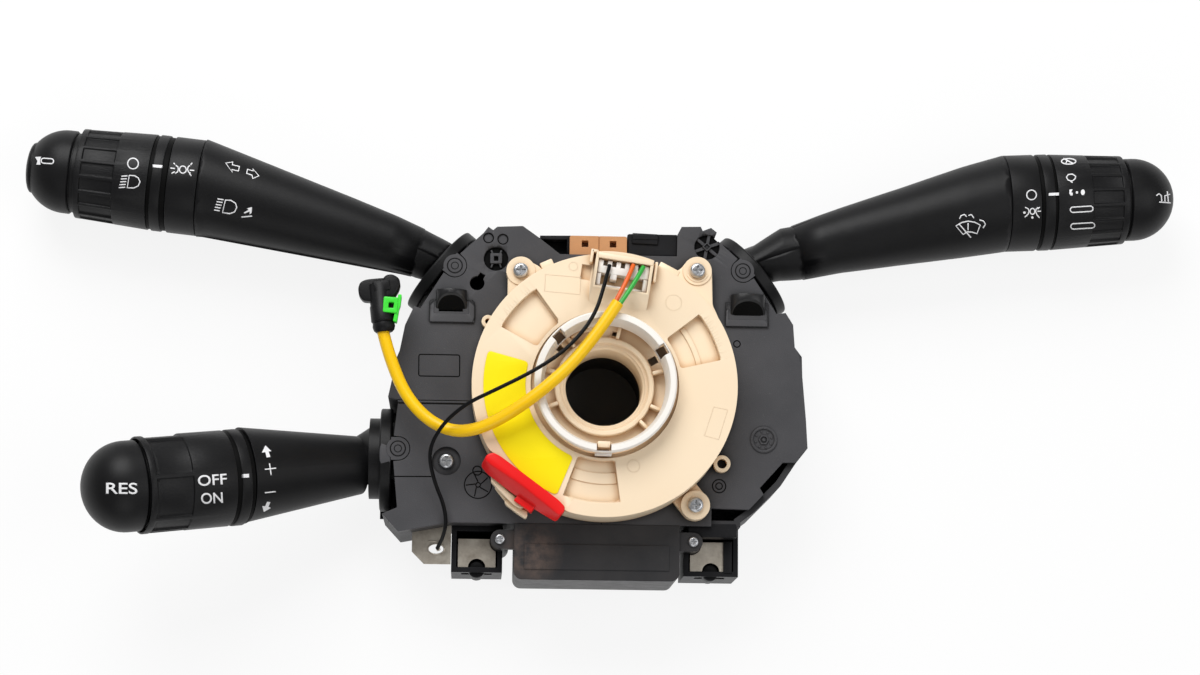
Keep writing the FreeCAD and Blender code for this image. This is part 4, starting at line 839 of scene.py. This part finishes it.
def buildPlug():
    # the white wire comb in the receptacle, and the cream latch beside it
    p = plugShape
    halfX, low, high = p["half"][0], p["floor"], p["top"]
    x, y, deep = p["comb"]
    comb = block((x, y, (low + high) / 2), (2 * halfX, deep, high - low), 0, p["edge"])
    over, y, below, deep, tall = p["slotCut"]
    cutAway(comb, [block((x + over, y, high - below), (p["slotWidth"], deep, tall)) for x in p["slots"]])
    inset, y, level, size = p["end"]
    ends = [block((way * (halfX - inset), y, level), size, 0, p["edge"]) for way in (-1, 1)]
    y, level, shorter, deep, tall = p["rail"]
    rail = block((0, y, level), (2 * halfX - shorter, deep, tall), 0, 0.2)
    comb = joinUp([comb, *ends, rail, block(*p["post"], 0, 0.3)])
    comb.data.transform(turnedAt(*p["centre"], p["turn"]))
    dress(comb, "wireComb", "whitePlastic", rotor, "rotor_plug")
    latch = joinUp([block(*bar, 0, p["latchEdge"]) for bar in p["latch"]])
    latch.data.transform(turnedAt(*p["centre"], p["turn"]))
    dress(latch, "receptacleLatch", "creamPlastic", rotor)


buildSpring()
buildKey()
buildPlug()
print("clock spring dressed")


def along(stations, x):
    # the shift and scale at x, straight between the stations
    if x <= stations[0][0] or x >= stations[-1][0]:
        return 0.0, 1.0
    for (x0, shift0, scale0), (x1, shift1, scale1) in zip(stations, stations[1:]):
        if x <= x1:
            t = (x - x0) / (x1 - x0)
            return shift0 + (shift1 - shift0) * t, scale0 + (scale1 - scale0) * t


def buildArms():
    for stalk, shape in armShape.items():
        arm = copyOf(f"{stalk}_lever")
        endX, endY, slope = shape["axis"]
        for vertex in arm.data.vertices:
            shift, scale = along(shape["stations"], vertex.co.x)
            middle = endY + (vertex.co.x - endX) * slope
            vertex.co.y = middle + shift + (vertex.co.y - middle) * scale
            vertex.co.z = stalkLevel + (vertex.co.z - stalkLevel) * scale
        dress(arm, shape["name"], "stalkPlastic", f"{stalk}_lever_body", f"{stalk}_lever")


buildArms()

# the air-bag connector: a round body with a flat wing, a latch stub and a bulged cable sleeve
squibShape = dict(
    axisTurn=7, centre=(-87.3, 33), level=54.6,
    body=[(0.4, -9.4), (4.2, -9.4), (4.7, -8.8), (4.7, -3), (4.4, -2.6), (4.4, 5.4), (4, 6), (0, 6.3)],
    sleeve=[(0.4, -13.2), (3.2, -13.2), (4, -12.4), (4.4, -11), (4.2, -9.6), (3.6, -9.2), (0, -9)],
    wing=[(-96.3, 36.8), (-95.6, 39.2), (-93.6, 40.3), (-90.9, 40.7), (-86, 41.2), (-85.4, 36), (-86.5, 31.6),
        (-94.2, 31.9), (-95.9, 34)],
    stub=[(-87, 40.2), (-85.6, 42.1), (-83.1, 42.5), (-80.4, 41), (-79.8, 38.6), (-80.4, 36.4), (-82.4, 33),
        (-87, 33)], lock=[(-86.1, 33.2), (-80.5, 32.9), (-80.8, 26.7), (-86.4, 27.1)],
    lockHole=[(-84.2, 31), (-82.1, 30.9), (-82.3, 28.7), (-84.3, 28.8)],
    blade=[(-80.6, 34.3), (-79.2, 34.2), (-79.6, 30), (-80.1, 28.5), (-80.9, 23.2), (-82.4, 23.7), (-81.5, 28.6),
        (-80.9, 31)], flat=((0.8, 4.6, 2.8), (6.4, 4, 2.8), 0, 0.4), rail=((4.2, -1, 0.6), (1.8, 9, 4.8), 0, 0.4),
    wingHeights=(50.8, 56.4, 0.6), stubHeights=(51, 58.2, 1.1), lockHeights=(57.2, 59.4, 0.25),
    bladeHeights=(54.4, 58.8, 0.2),
)


def buildSquib():
    s = squibShape
    upright = Matrix.Rotation(math.radians(-90), 4, "X")
    body, sleeve = turnUp(s["body"], 40), turnUp(s["sleeve"], 40)
    for turned in (body, sleeve):
        turned.data.transform(upright)
    whole = joinUp([body, sleeve, block(*s["flat"]), block(*s["rail"])])
    whole.data.transform(turnedAt(*s["centre"], s["axisTurn"], s["level"]))
    wing = plateOf([softCorners(s["wing"], 1.0, 3)], *s["wingHeights"])
    stub = plateOf([softCorners(s["stub"], 1.4, 4)], *s["stubHeights"])
    whole = joinUp([whole, wing, stub])
    dress(whole, "airbagConnector", "stalkPlastic", rotor, "squib_connector", angle=38)

    clip = plateOf([softCorners(s["lock"], 0.5, 2), softCorners(s["lockHole"], 0.2, 1)], *s["lockHeights"])
    blade = plateOf([softCorners(s["blade"], 0.4, 2)], *s["bladeHeights"])
    clip = joinUp([clip, blade])
    return dress(clip, "greenLock", "greenPlastic", rotor, "squib_lock")


buildSquib()
print("connector dressed")

# the housing: scoop roofs, tongue rings, stamps and recess details
housingShape = dict(
    scoops=[dict(x=(-66.1, -54), y=(31.5, 39.3), lift=6, pad=[(-68.5, 26.6), (-51.6, 26.6), (-50.9, 28.6),
        (-50.9, 34.4), (-51.8, 35.5), (-67.6, 35.5), (-68.6, 34.6)]), dict(x=(50.2, 63.8), y=(31.1, 39.5), lift=6.8,
        pad=[(48.2, 26.9), (65, 26.9), (65, 36.4), (48.2, 36.4)])],
    vault=dict(low=41.6, base=42.2, high=47.3, slant=1.2), upperLeft=(-42.7, 52.4), upperRight=(40.8, 58.9),
    rim=[(-25.4, 63), (-13.2, 63.2), (-13.2, 55.4), (-14.7, 55.4), (-14.7, 61.5), (-25.4, 61.3)],
    stamps=[(-45.9, 60.8, 1.95), (-40.2, 60.4, 2), (52.8, 20, 1.3), (45.9, -36.6, 2.6), (-48.7, -32, 1.75)],
    dial=(-48.3, -37.6, 5.3), frame=[(-72.4, 13.6), (-56.4, 13.6), (-56.3, 5), (-72.3, 5)],
    lowerRound=(63.4, -18.1, 5.3), edgeLine=[(-82.6, -34.8), (-66, -34.6)],
    tongues=dict(left=(-59, 49.4), right=(55.1, 49.4), cruise=(-79.8, -23.8)), face=42, stampWidth=0.42,
    stampHeight=0.1, spokes=(20, 92, 164, 236, 308), collar=(41.9, 42.35, 0.12), lowered=(41.8, 42.04),
    hexagon=(2.1, 1.3, (42, 42.6, 0.12)), dot=(0.7, (42, 42.5, 0.1)), beads=(3.2, 0.42, (42, 42.3, 0.08)),
    bossHeights=(40.2, 42.1, 0.2), ridge=(1.7, 2.7, 41.2, (0.7, 1.8, 1.1), 20, 0.15),
    bossFrames=[(-2.4, -1.9, 2.3, 2.3, 0.4), (-0.9, -0.8, 0.8, 1.1, 0.2)], diamond=(1.9, 1.2, (40, 42.2, 0.15)),
    recess=(4.7, (40.1, 40.55)), tongueRadii=(1.4, 3), tongueWidth=0.3, tongueHeight=0.14,
    hoodCut=(46.4, 1.6, 3, 7.6), hoodEdge=0.3, mouthInset=0.7, mouthDepths=(0.05, 0.12), padLine=(0.35, 42.82, 0.12),
)


def vaultLoop(half, grow=0.0):
    # the cross-section of a scoop: upright sides under a round roof
    v = housingShape["vault"]
    rise = v["high"] - v["base"] + grow
    loop = [(half + grow, v["low"]), (half + grow, v["base"])]
    loop += [((half + grow) * math.cos(math.radians(a)), v["base"] + rise * math.sin(math.radians(a)) ** 0.8)
             for a in range(10, 180, 10)]
    return loop + [(-half - grow, v["base"]), (-half - grow, v["low"])]


def buildScoops():
    h, v = housingShape, housingShape["vault"]
    hoods, mouths = [], []
    for hand, scoop in zip(("left", "right"), h["scoops"]):
        middle, half = sum(scoop["x"]) / 2, (scoop["x"][1] - scoop["x"][0]) / 2
        front, back = scoop["y"]
        # the round hood takes the place of the plain one on the cover
        cover = copyOf(f"{hand}_module_cover")
        level, wider, deeper, tall = h["hoodCut"]
        cutAway(cover, [block((middle, (front + back) / 2, level), (2 * half + wider, back - front + deeper, tall))])
        dress(cover, f"{hand}CoverPlate", "coverPlastic", shell,
              f"{hand}_module_cover", angle=30, weighted=True)
        hood = plateOf([vaultLoop(half)], 0.0, back - front, h["hoodEdge"])
        # painted shade: the mouth is a thin near-black plate set into the front of the solid hood, standing for its
        # shaded opening
        inside, outside = h["mouthDepths"]
        mouth = plateOf([vaultLoop(half, -h["mouthInset"])], back - front - inside, back - front + outside)
        for piece in (hood, mouth):
            piece.data.transform(Matrix.Translation((middle, back, 0)) @ Matrix.Rotation(math.radians(90), 4, "X"))
            for vertex in piece.data.vertices:
                if vertex.co.y < front + 1.0:
                    # the mouth is cut at a slant, further back toward the roof
                    vertex.co.y += max(0.0, vertex.co.z - v["base"]) * v["slant"]
                    vertex.co.y = min(vertex.co.y, front + scoop["lift"])
        hoods += [hood, raised([(scoop["pad"], True)], *h["padLine"])]
        mouths.append(mouth)
    hoods, mouths = joinUp(hoods), joinUp(mouths)
    dress(hoods, "scoopHoods", "hoodPlastic", shell, angle=40)
    return dress(mouths, "scoopMouths", "paintedShadeBlack", shell, angle=None)


def buildStamps():
    h = housingShape
    strokes = [(circleLoop(x, y, r, 28), True) for x, y, r in h["stamps"]]
    x, y, r = h["dial"]
    strokes += [(circleLoop(x, y, r, 36), True), (circleLoop(x, y, 0.9, 14), True)]
    for angle in h["spokes"]:
        ax, ay = round2d(angle, 1.2)
        bx, by = round2d(angle + 18, r - 0.6)
        strokes.append(([(x + ax, y + ay), (x + bx, y + by)], False))
    strokes.append((softCorners(h["frame"], 0.8, 3), True))
    x, y = h["stamps"][3][:2]
    strokes += [(circleLoop(x, y, 1.3, 20), True), (h["edgeLine"], False)]
    # painted shade: the raised stamp lines are near black, much darker than the housing round them
    lines = raised(strokes, h["stampWidth"], h["face"], h["stampHeight"])
    dress(lines, "stampLines", "paintedShadeBlack", shell, angle=None)

    x, y, r = h["lowerRound"]
    collar = plateOf([circleLoop(x, y, r, 48), circleLoop(x, y, r - 1.1, 48)], *h["collar"])
    lowered = plateOf([circleLoop(x, y, r - 1.1, 48)], *h["lowered"])
    outer, inner, heights = h["hexagon"]
    hexagon = plateOf([circleLoop(x, y, outer, 6), circleLoop(x, y, inner, 20)], *heights)
    radius, heights = h["dot"]
    dot = plateOf([circleLoop(x, y, radius, 16)], *heights)
    away, radius, heights = h["beads"]
    beads = [plateOf([circleLoop(x + round2d(a, away)[0], y + round2d(a, away)[1], radius, 10)], *heights)
             for a in range(15, 375, 45)]
    x, y = h["upperLeft"]
    frames = [softCorners([(x + w, y + s), (x + e, y + s), (x + e, y + n), (x + w, y + n)], corner, 2)
              for w, s, e, n, corner in h["bossFrames"]]
    over, along, level, size, turn, edge = h["ridge"]
    bosses = [plateOf(frames, *h["bossHeights"])]
    bosses += [block((x + way * over, y + up * along, level), size, -up * way * turn, edge)
               for way in (-1, 1) for up in (-1, 1)]
    x, y = h["upperRight"]
    outer, inner, heights = h["diamond"]
    bosses.append(plateOf([circleLoop(x, y, outer, 4), circleLoop(x, y, inner, 4)], *heights))
    # painted shade: the floors of the two round recesses are near black
    radius, heights = h["recess"]
    floors = joinUp([plateOf([circleLoop(*h[where], radius, 40)], *heights) for where in ("upperLeft", "upperRight")])
    dress(floors, "recessFloors", "paintedShadeBlack", shell, angle=None)
    marks = joinUp([collar, lowered, hexagon, dot, *beads, *bosses])
    dress(marks, "mouldMarks", "coverPlastic", shell)


def buildTongueRings():
    h = housingShape
    for stalk, place in h["tongues"].items():
        strokes = [(circleLoop(*place, r, 30), True) for r in h["tongueRadii"]]
        rings = raised(strokes, h["tongueWidth"], h["face"], h["tongueHeight"])
        dress(rings, f"{stalk}TongueRings", "stalkPlastic", f"{stalk}_yoke_body")


boxShape = dict(
    bar=((43.6, -53.7, 35.4), (19.4, 5.6, 8.6), 0, 0.8), postsX=(-48.3, 43.75), stud=(-69.2, 3.3, (14, 27.6, 0.5)),
    web=(-68.9, 21, (9.6, 1, 12), 0.3), wall=((50.4, -63.3, 23), (3.4, 12.6, 15), 0, 0.3), rimHeights=(24, 38.4, 0.3),
    well=[(-27, 61.6), (-14.4, 61.6), (-14.4, 50), (-27, 50)], wellHeights=(22, 31),
    lid=((16.2, 61.7, 39.6), (10.4, 4.4, 4.4), -2, 0.5), shadePlate=((-83, -25, 0.45), (9, 44, 0.7)),
)


def buildBoxTrim():
    # the bar over the right terminal box, the posts and wall in the boxes, and the frame round the column connector
    b = boxShape
    bar = block(*b["bar"])
    posts = []
    for x in b["postsX"]:
        y, radius, heights = b["stud"]
        posts.append(plateOf([circleLoop(x, y, radius, 32)], *heights))
        y, level, size, edge = b["web"]
        posts.append(block((x, y, level), size, 0, edge))
    posts.append(block(*b["wall"]))
    rim = plateOf([housingShape["rim"]], *b["rimHeights"])
    well = plateOf([b["well"]], *b["wellHeights"])
    # painted shade: a dark plate low at the back closes the view of the floor past the cruise collar, where there is
    # only shade
    whole = joinUp([bar, rim, well, block(*b["lid"]), block(*b["shadePlate"]), *posts])
    dress(whole, "terminalBoxTrim", "boxPlastic", shell)


eyeShape = dict(
    centre=(-64.3, -61.7), rim=((3.5, 0.66), (2.9, 0.62)), rimHeights=(29.9, 30.35, 0.15),
    crimp=(0.9, -0.1, 30.6, (1.6, 1.3, 1.2), 25, 0.35), tongue=((-64.6, -58.6, 30.2), (5.4, 0.5, 0.5), -3, 0.15),
)


def buildEarthEye():
    # the brass end of the black wire, crimped through the oval hole
    e = eyeShape
    x, y = e["centre"]
    rim = plateOf([circleLoop(x, y, radius, 32, squash) for radius, squash in e["rim"]], *e["rimHeights"])
    over, up, level, size, turn, edge = e["crimp"]
    crimp = block((x + over, y + up, level), size, turn, edge)
    eye = joinUp([rim, crimp, block(*e["tongue"])])
    dress(eye, "earthEye", "nickelSheet", shell)


buildScoops()
buildStamps()
buildTongueRings()
buildBoxTrim()
buildEarthEye()
print("housing dressed")

# white printing: each symbol is drawn as it is seen and laid on the piece behind it
printScale = {"left": (20.0, 115.0, 5.6), "right": (980.0, 130.0, 7.467), "cruise": (60.0, 410.0, 4.612)}
printLine, printDepth, sunkShare = 1.15, 0.06, 0.35


def oval(x, y, rx, ry=None, sides=28, turn=0.0):
    ry = ry or rx
    tilt = math.radians(turn)
    loop = []
    for i in range(sides):
        a = 2 * math.pi * i / sides
        u, v = rx * math.cos(a), ry * math.sin(a)
        loop.append((x + u * math.cos(tilt) - v * math.sin(tilt), y + u * math.sin(tilt) + v * math.cos(tilt)))
    return loop


def pill(x0, y0, x1, y1, radius):
    # a long rounded outline round the line from one end to the other
    along = math.atan2(y1 - y0, x1 - x0)
    loop = []
    for (x, y), start in (((x1, y1), along - math.pi / 2), ((x0, y0), along + math.pi / 2)):
        for i in range(9):
            a = start + math.pi * i / 8
            loop.append((x + radius * math.cos(a), y + radius * math.sin(a)))
    return loop


def lamp(x, y, size=1.0, turn=0.0):
    # a headlamp seen from the side
    c, s = math.cos(math.radians(turn)), math.sin(math.radians(turn))
    shape = [(-20, -37), (8, -35), (30, -23), (40, 0), (30, 22), (6, 34), (-32, 33)]
    return [(x + size * (u * c - v * s), y + size * (u * s + v * c)) for u, v in shape]


prints = {
    "left": [
        dict(part="Knob", body="knob", on="GripKnob",
            strokes=[(oval(633, 272, 30), True), (lamp(632, 375, 1), True)] + [([(568 - 3.75 * i, 343 + 16 * i),
                (602 - 3.25 * i, 341 + 16 * i)], False) for i in range(5)]),
        dict(part="Index", body="lever", on="IndexBand", fills=[[(743, 277), (798, 281), (798, 297), (743, 292)]]),
        dict(part="Ring", body="ring", on="RingSwitch",
            strokes=[(oval(912, 306, 19, 20), True), ([(872, 282), (884, 290), (887, 304), (883, 318), (869, 327)],
                False), ([(952, 282), (941, 291), (938, 305), (943, 319), (955, 327)], False), ([(860, 268),
                (869, 278)], False), ([(842, 297), (868, 300)], False), ([(848, 327), (867, 318)], False),
                ([(965, 268), (955, 279)], False), ([(950, 309), (976, 311)], False), ([(948, 326), (959, 341)],
                False)]),
        dict(part="Arm", body="lever", on="Arm",
            strokes=[([(1152, 269), (1192, 263), (1189, 279), (1229, 288), (1223, 314), (1186, 305), (1189, 321)],
                True), ([(1338, 341), (1304, 301), (1306, 314), (1274, 304), (1269, 327), (1300, 337), (1303, 356)],
                True), ([(1150, 477), (1180, 478), (1206, 494), (1214, 518), (1202, 543), (1174, 553), (1134, 547)],
                True), ([(1240, 572), (1300, 566)], False)] + [([(1106 - 5 * i, 470 + 15.5 * i),
                (1140 - 5.5 * i, 475 + 15.5 * i)], False) for i in range(5)],
            fills=[[(1299, 516), (1272, 522), (1280, 532), (1254, 545), (1258, 552), (1286, 540), (1286, 556),
                (1297, 548)]]),
        dict(part="Dome", body="button", on="Dome",
            fills=[[(85, 235), (118, 233), (112, 255), (115, 278), (92, 278), (98, 258)]],
            strokes=[(pill(132, 256, 174, 259, 14), True)])],
    "right": [
        dict(part="Knob", body="knob", on="GripKnob",
            strokes=[(oval(662, 234, 54, 21), True), ([(622, 212), (700, 252)], False), ([(655, 222), (642, 246)],
                False), ([(645, 352), (660, 332), (690, 329), (715, 346), (710, 364), (688, 382), (658, 374)], True),
                ([(674, 380), (692, 394)], False), (pill(694, 596, 824, 588, 20), True),
                (pill(698, 720, 836, 712, 20), True)],
            fills=[oval(724, 466, 9, 10, 12), oval(768, 465, 15, 21, 16), [(668, 445), (691, 442), (686, 454),
                (681, 466), (693, 468), (692, 488), (676, 489), (667, 474)]]),
        dict(part="Index", body="lever", on="IndexBand", fills=[[(514, 471), (589, 467), (589, 488), (514, 491)]]),
        dict(part="Ring", body="ring", on="RingSwitch",
            strokes=[(oval(385, 485, 36, 36), True), (oval(392, 608, 18, 22), True), ([(337, 577), (362, 590),
                (366, 610), (360, 628), (334, 652)], False), ([(420, 588), (416, 610), (424, 632), (444, 656)],
                False), ([(432, 577), (422, 590)], False), ([(446, 576), (430, 590)], False), ([(428, 608),
                (455, 606)], False)], fills=[oval(332, 617, 10, 9, 12), oval(391, 653, 9, 9, 12)]),
        dict(part="Arm", body="lever", on="Arm",
            strokes=[([(-180, 716), (-136, 691), (-89, 681), (-39, 689), (2, 710), (-23, 774), (-58, 763), (-95, 761),
                (-126, 780)], True), ([(-155, 703), (-68, 803)], False), ([(-89, 695), (-89, 749)], False),
                ([(-4, 672), (25, 679), (41, 703), (23, 732)], False), ([(-153, 664), (-141, 639), (-116, 631),
                (-99, 648)], False), ([(-87, 639), (-64, 631), (-45, 658)], False)]),
        dict(part="Dome", body="button", on="Dome",
            strokes=[([(1317, 491), (1335, 476), (1354, 489), (1358, 534)], False), ([(1339, 538), (1424, 544)],
                False), ([(1381, 534), (1381, 491), (1420, 480)], False), ([(1399, 458), (1407, 538)], False)])],
    "cruise": [
        dict(part="Dome", body="button", on="Dome", words=[("RES", 212, 387, 52, 145, -0.5)]),
        dict(part="Knob", body="knob", on="GripKnob",
            words=[("OFF", 638, 352, 50, 134, 4), ("ON", 652, 434, 50, 100, 3)]),
        dict(part="Index", body="yoke", on="IndexBand", fills=[[(822, 297), (872, 294), (872, 311), (822, 314)]]),
        dict(part="Arm", body="yoke", on="_lever",
            strokes=[([(945, 274), (997, 268)], False), ([(966, 246), (974, 300)], False), ([(945, 382), (995, 376)],
                False)],
            fills=[[(947, 163), (975, 190), (962, 191), (970, 216), (953, 219), (947, 194), (931, 197)], [(940, 470),
                (933, 443), (946, 444), (955, 423), (970, 425), (961, 446), (972, 452)]])],
}


def wordShape(word, x, y, height, width, turn):
    text = bpy.data.curves.new("word", "FONT")
    text.body = word
    text.offset = 0.012
    piece = asMesh(linked("word", text))
    places = [v.co for v in piece.data.vertices]
    low, high = min(p.x for p in places), max(p.x for p in places)
    tall = max(p.y for p in places) - min(p.y for p in places)
    base = min(p.y for p in places)
    scale = Matrix.Diagonal((width / (high - low), -height / tall, 1, 1))
    tilt = Matrix.Rotation(math.radians(-turn), 4, "Z")
    piece.data.transform(Matrix.Translation((x, y, 0)) @ tilt @ scale @ Matrix.Translation((-low, -base, 0)))
    return piece


def splitLong(piece, limit):
    # halves every edge that is longer, until none is
    alone(piece)
    bpy.ops.object.mode_set(mode="EDIT")
    bpy.ops.mesh.select_mode(type="EDGE")
    for again in range(7):
        bpy.ops.mesh.select_all(action="SELECT")
        bpy.ops.mesh.quads_convert_to_tris()
        bpy.ops.mesh.select_all(action="DESELECT")
        mesh = bmesh.from_edit_mesh(piece.data)
        long = [edge for edge in mesh.edges if edge.calc_length() > limit]
        if not long:
            break
        for edge in long:
            edge.select_set(True)
        bmesh.update_edit_mesh(piece.data)
        bpy.ops.mesh.subdivide(number_cuts=1)
    bpy.ops.object.mode_set(mode="OBJECT")


def layPrint(view, drawn):
    left, upper, scale = printScale[view]
    parts = [ribbon(points, printLine * scale, closed) for points, closed in drawn.get("strokes", [])]
    for loop in drawn.get("fills", []):
        mesh = bpy.data.meshes.new("fill")
        mesh.from_pydata([(x, y, 0) for x, y in loop], [], [range(len(loop))])
        parts.append(linked("fill", mesh))
    parts += [wordShape(*word) for word in drawn.get("words", [])]
    piece = joinUp(parts)
    splitLong(piece, 2.0 * scale)
    name, under = f"{view}{drawn['part']}Print", f"{view}{drawn['on']}"
    target = bpy.data.objects.get(under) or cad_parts[under]
    focal = shot["lens"] / shot["sensor"] * shot["width"]
    middleX, middleY = shot["width"] / 2, shot["height"] / 2
    missed, depths = [], []
    for vertex in piece.data.vertices:
        px, py = left + vertex.co.x / scale, upper + vertex.co.y / scale
        away = (side * ((px - middleX) / focal) + top * ((middleY - py) / focal) - back).normalized()
        found, place, normal, index = target.ray_cast(eye, away)
        if found:
            depths.append((place - eye).length - printDepth * sunkShare * mm)
            vertex.co = eye + away * depths[-1]
        else:
            missed.append((vertex, away))
    for vertex, away in missed:
        vertex.co = eye + away * (sum(depths) / len(depths))
    if missed:
        print("print off its piece:", name, len(missed))
    thicken(piece, printDepth * mm, merge=0)
    return finished(piece, name, "whitePrint", f"{view}_{drawn['body']}_body")


bpy.context.view_layer.update()
for view, drawings in prints.items():
    for drawn in drawings:
        layPrint(view, drawn)
print("prints laid:", sum(map(len, prints.values())))

stageSet = dict(floorSize=6.0, floorLevel=-0.0008, floorColour=(0.9, 0.9, 0.9), whiteShare=0.86, worldLight=0.28,
                shaded=(0.022, 0.026))


def whiteBehind(shading, shader, share):
    # camera, mirror and glass rays see white, and everything else sees the real surface
    direct, glossy, through = (shading.node("ShaderNodeLightPath", {}, {}, f"Is {ray} Ray")
                               for ray in ("Camera", "Glossy", "Transmission"))
    seen = direct.maths("MAXIMUM", direct.maths("MAXIMUM", direct, glossy), through)
    white = shading.node("ShaderNodeEmission", {}, {"Color": (1, 1, 1, 1), "Strength": 1.0})
    mix = shading.node("ShaderNodeMixShader", {}, {0: seen * share, 1: shader, 2: white})
    shading.tree.links.new(mix.socket, shading.tree.nodes["Material Output"].inputs["Surface"])


bpy.ops.object.select_all(action="DESELECT")
bpy.ops.mesh.primitive_plane_add(size=stageSet["floorSize"], location=(0, 0, stageSet["floorLevel"]))
floor = bpy.context.object
bpy.ops.object.transform_apply(location=True)
floor.name = "floor"
pale = Finish("paleFloor", stageSet["floorColour"], 0.9)
# painted shade: round the column axis, where the floor is seen down the bore, it is not whitened and is painted dark
# grey
reach = pale.node("ShaderNodeVectorMath", {"operation": "LENGTH"}, {0: pale.place()}, 1)
share = pale.band(reach, *stageSet["shaded"]) * stageSet["whiteShare"]
whiteBehind(pale, Wire(pale, pale.shader.outputs[0]), share)
pale.feed("Base Color", pale.blend(pale.band(reach, *stageSet["shaded"]), (0.1, 0.1, 0.1), stageSet["floorColour"]))
floor.data.materials.append(pale.material)

world = bpy.data.worlds.new("studio")
bpy.context.scene.world = world
world.use_nodes = True
world.node_tree.nodes["Background"].inputs["Color"].default_value = (1, 1, 1, 1)
world.node_tree.nodes["Background"].inputs["Strength"].default_value = stageSet["worldLight"]

lamps = {
    "keyPanel": dict(place=(-0.3, 0.85, 0.9), size=0.8, power=14.4),
    "fillPanel": dict(place=(0.7, -0.1, 0.9), size=0.8, power=3.4),
    "rimPanel": dict(place=(-0.1, -0.8, 0.6), size=0.6, power=1.6),
}
for name, light in lamps.items():
    bpy.ops.object.light_add(type="AREA", location=light["place"])
    panel = bpy.context.object
    panel.name = name
    panel.data.size = light["size"]
    panel.data.energy = light["power"]
    aim = Vector((0, 0, 0.03)) - Vector(light["place"])
    panel.rotation_euler = aim.to_track_quat("-Z", "Y").to_euler()

bpy.context.scene.view_settings.view_transform = "Standard"
print("stage set")

bpy.context.view_layer.update()
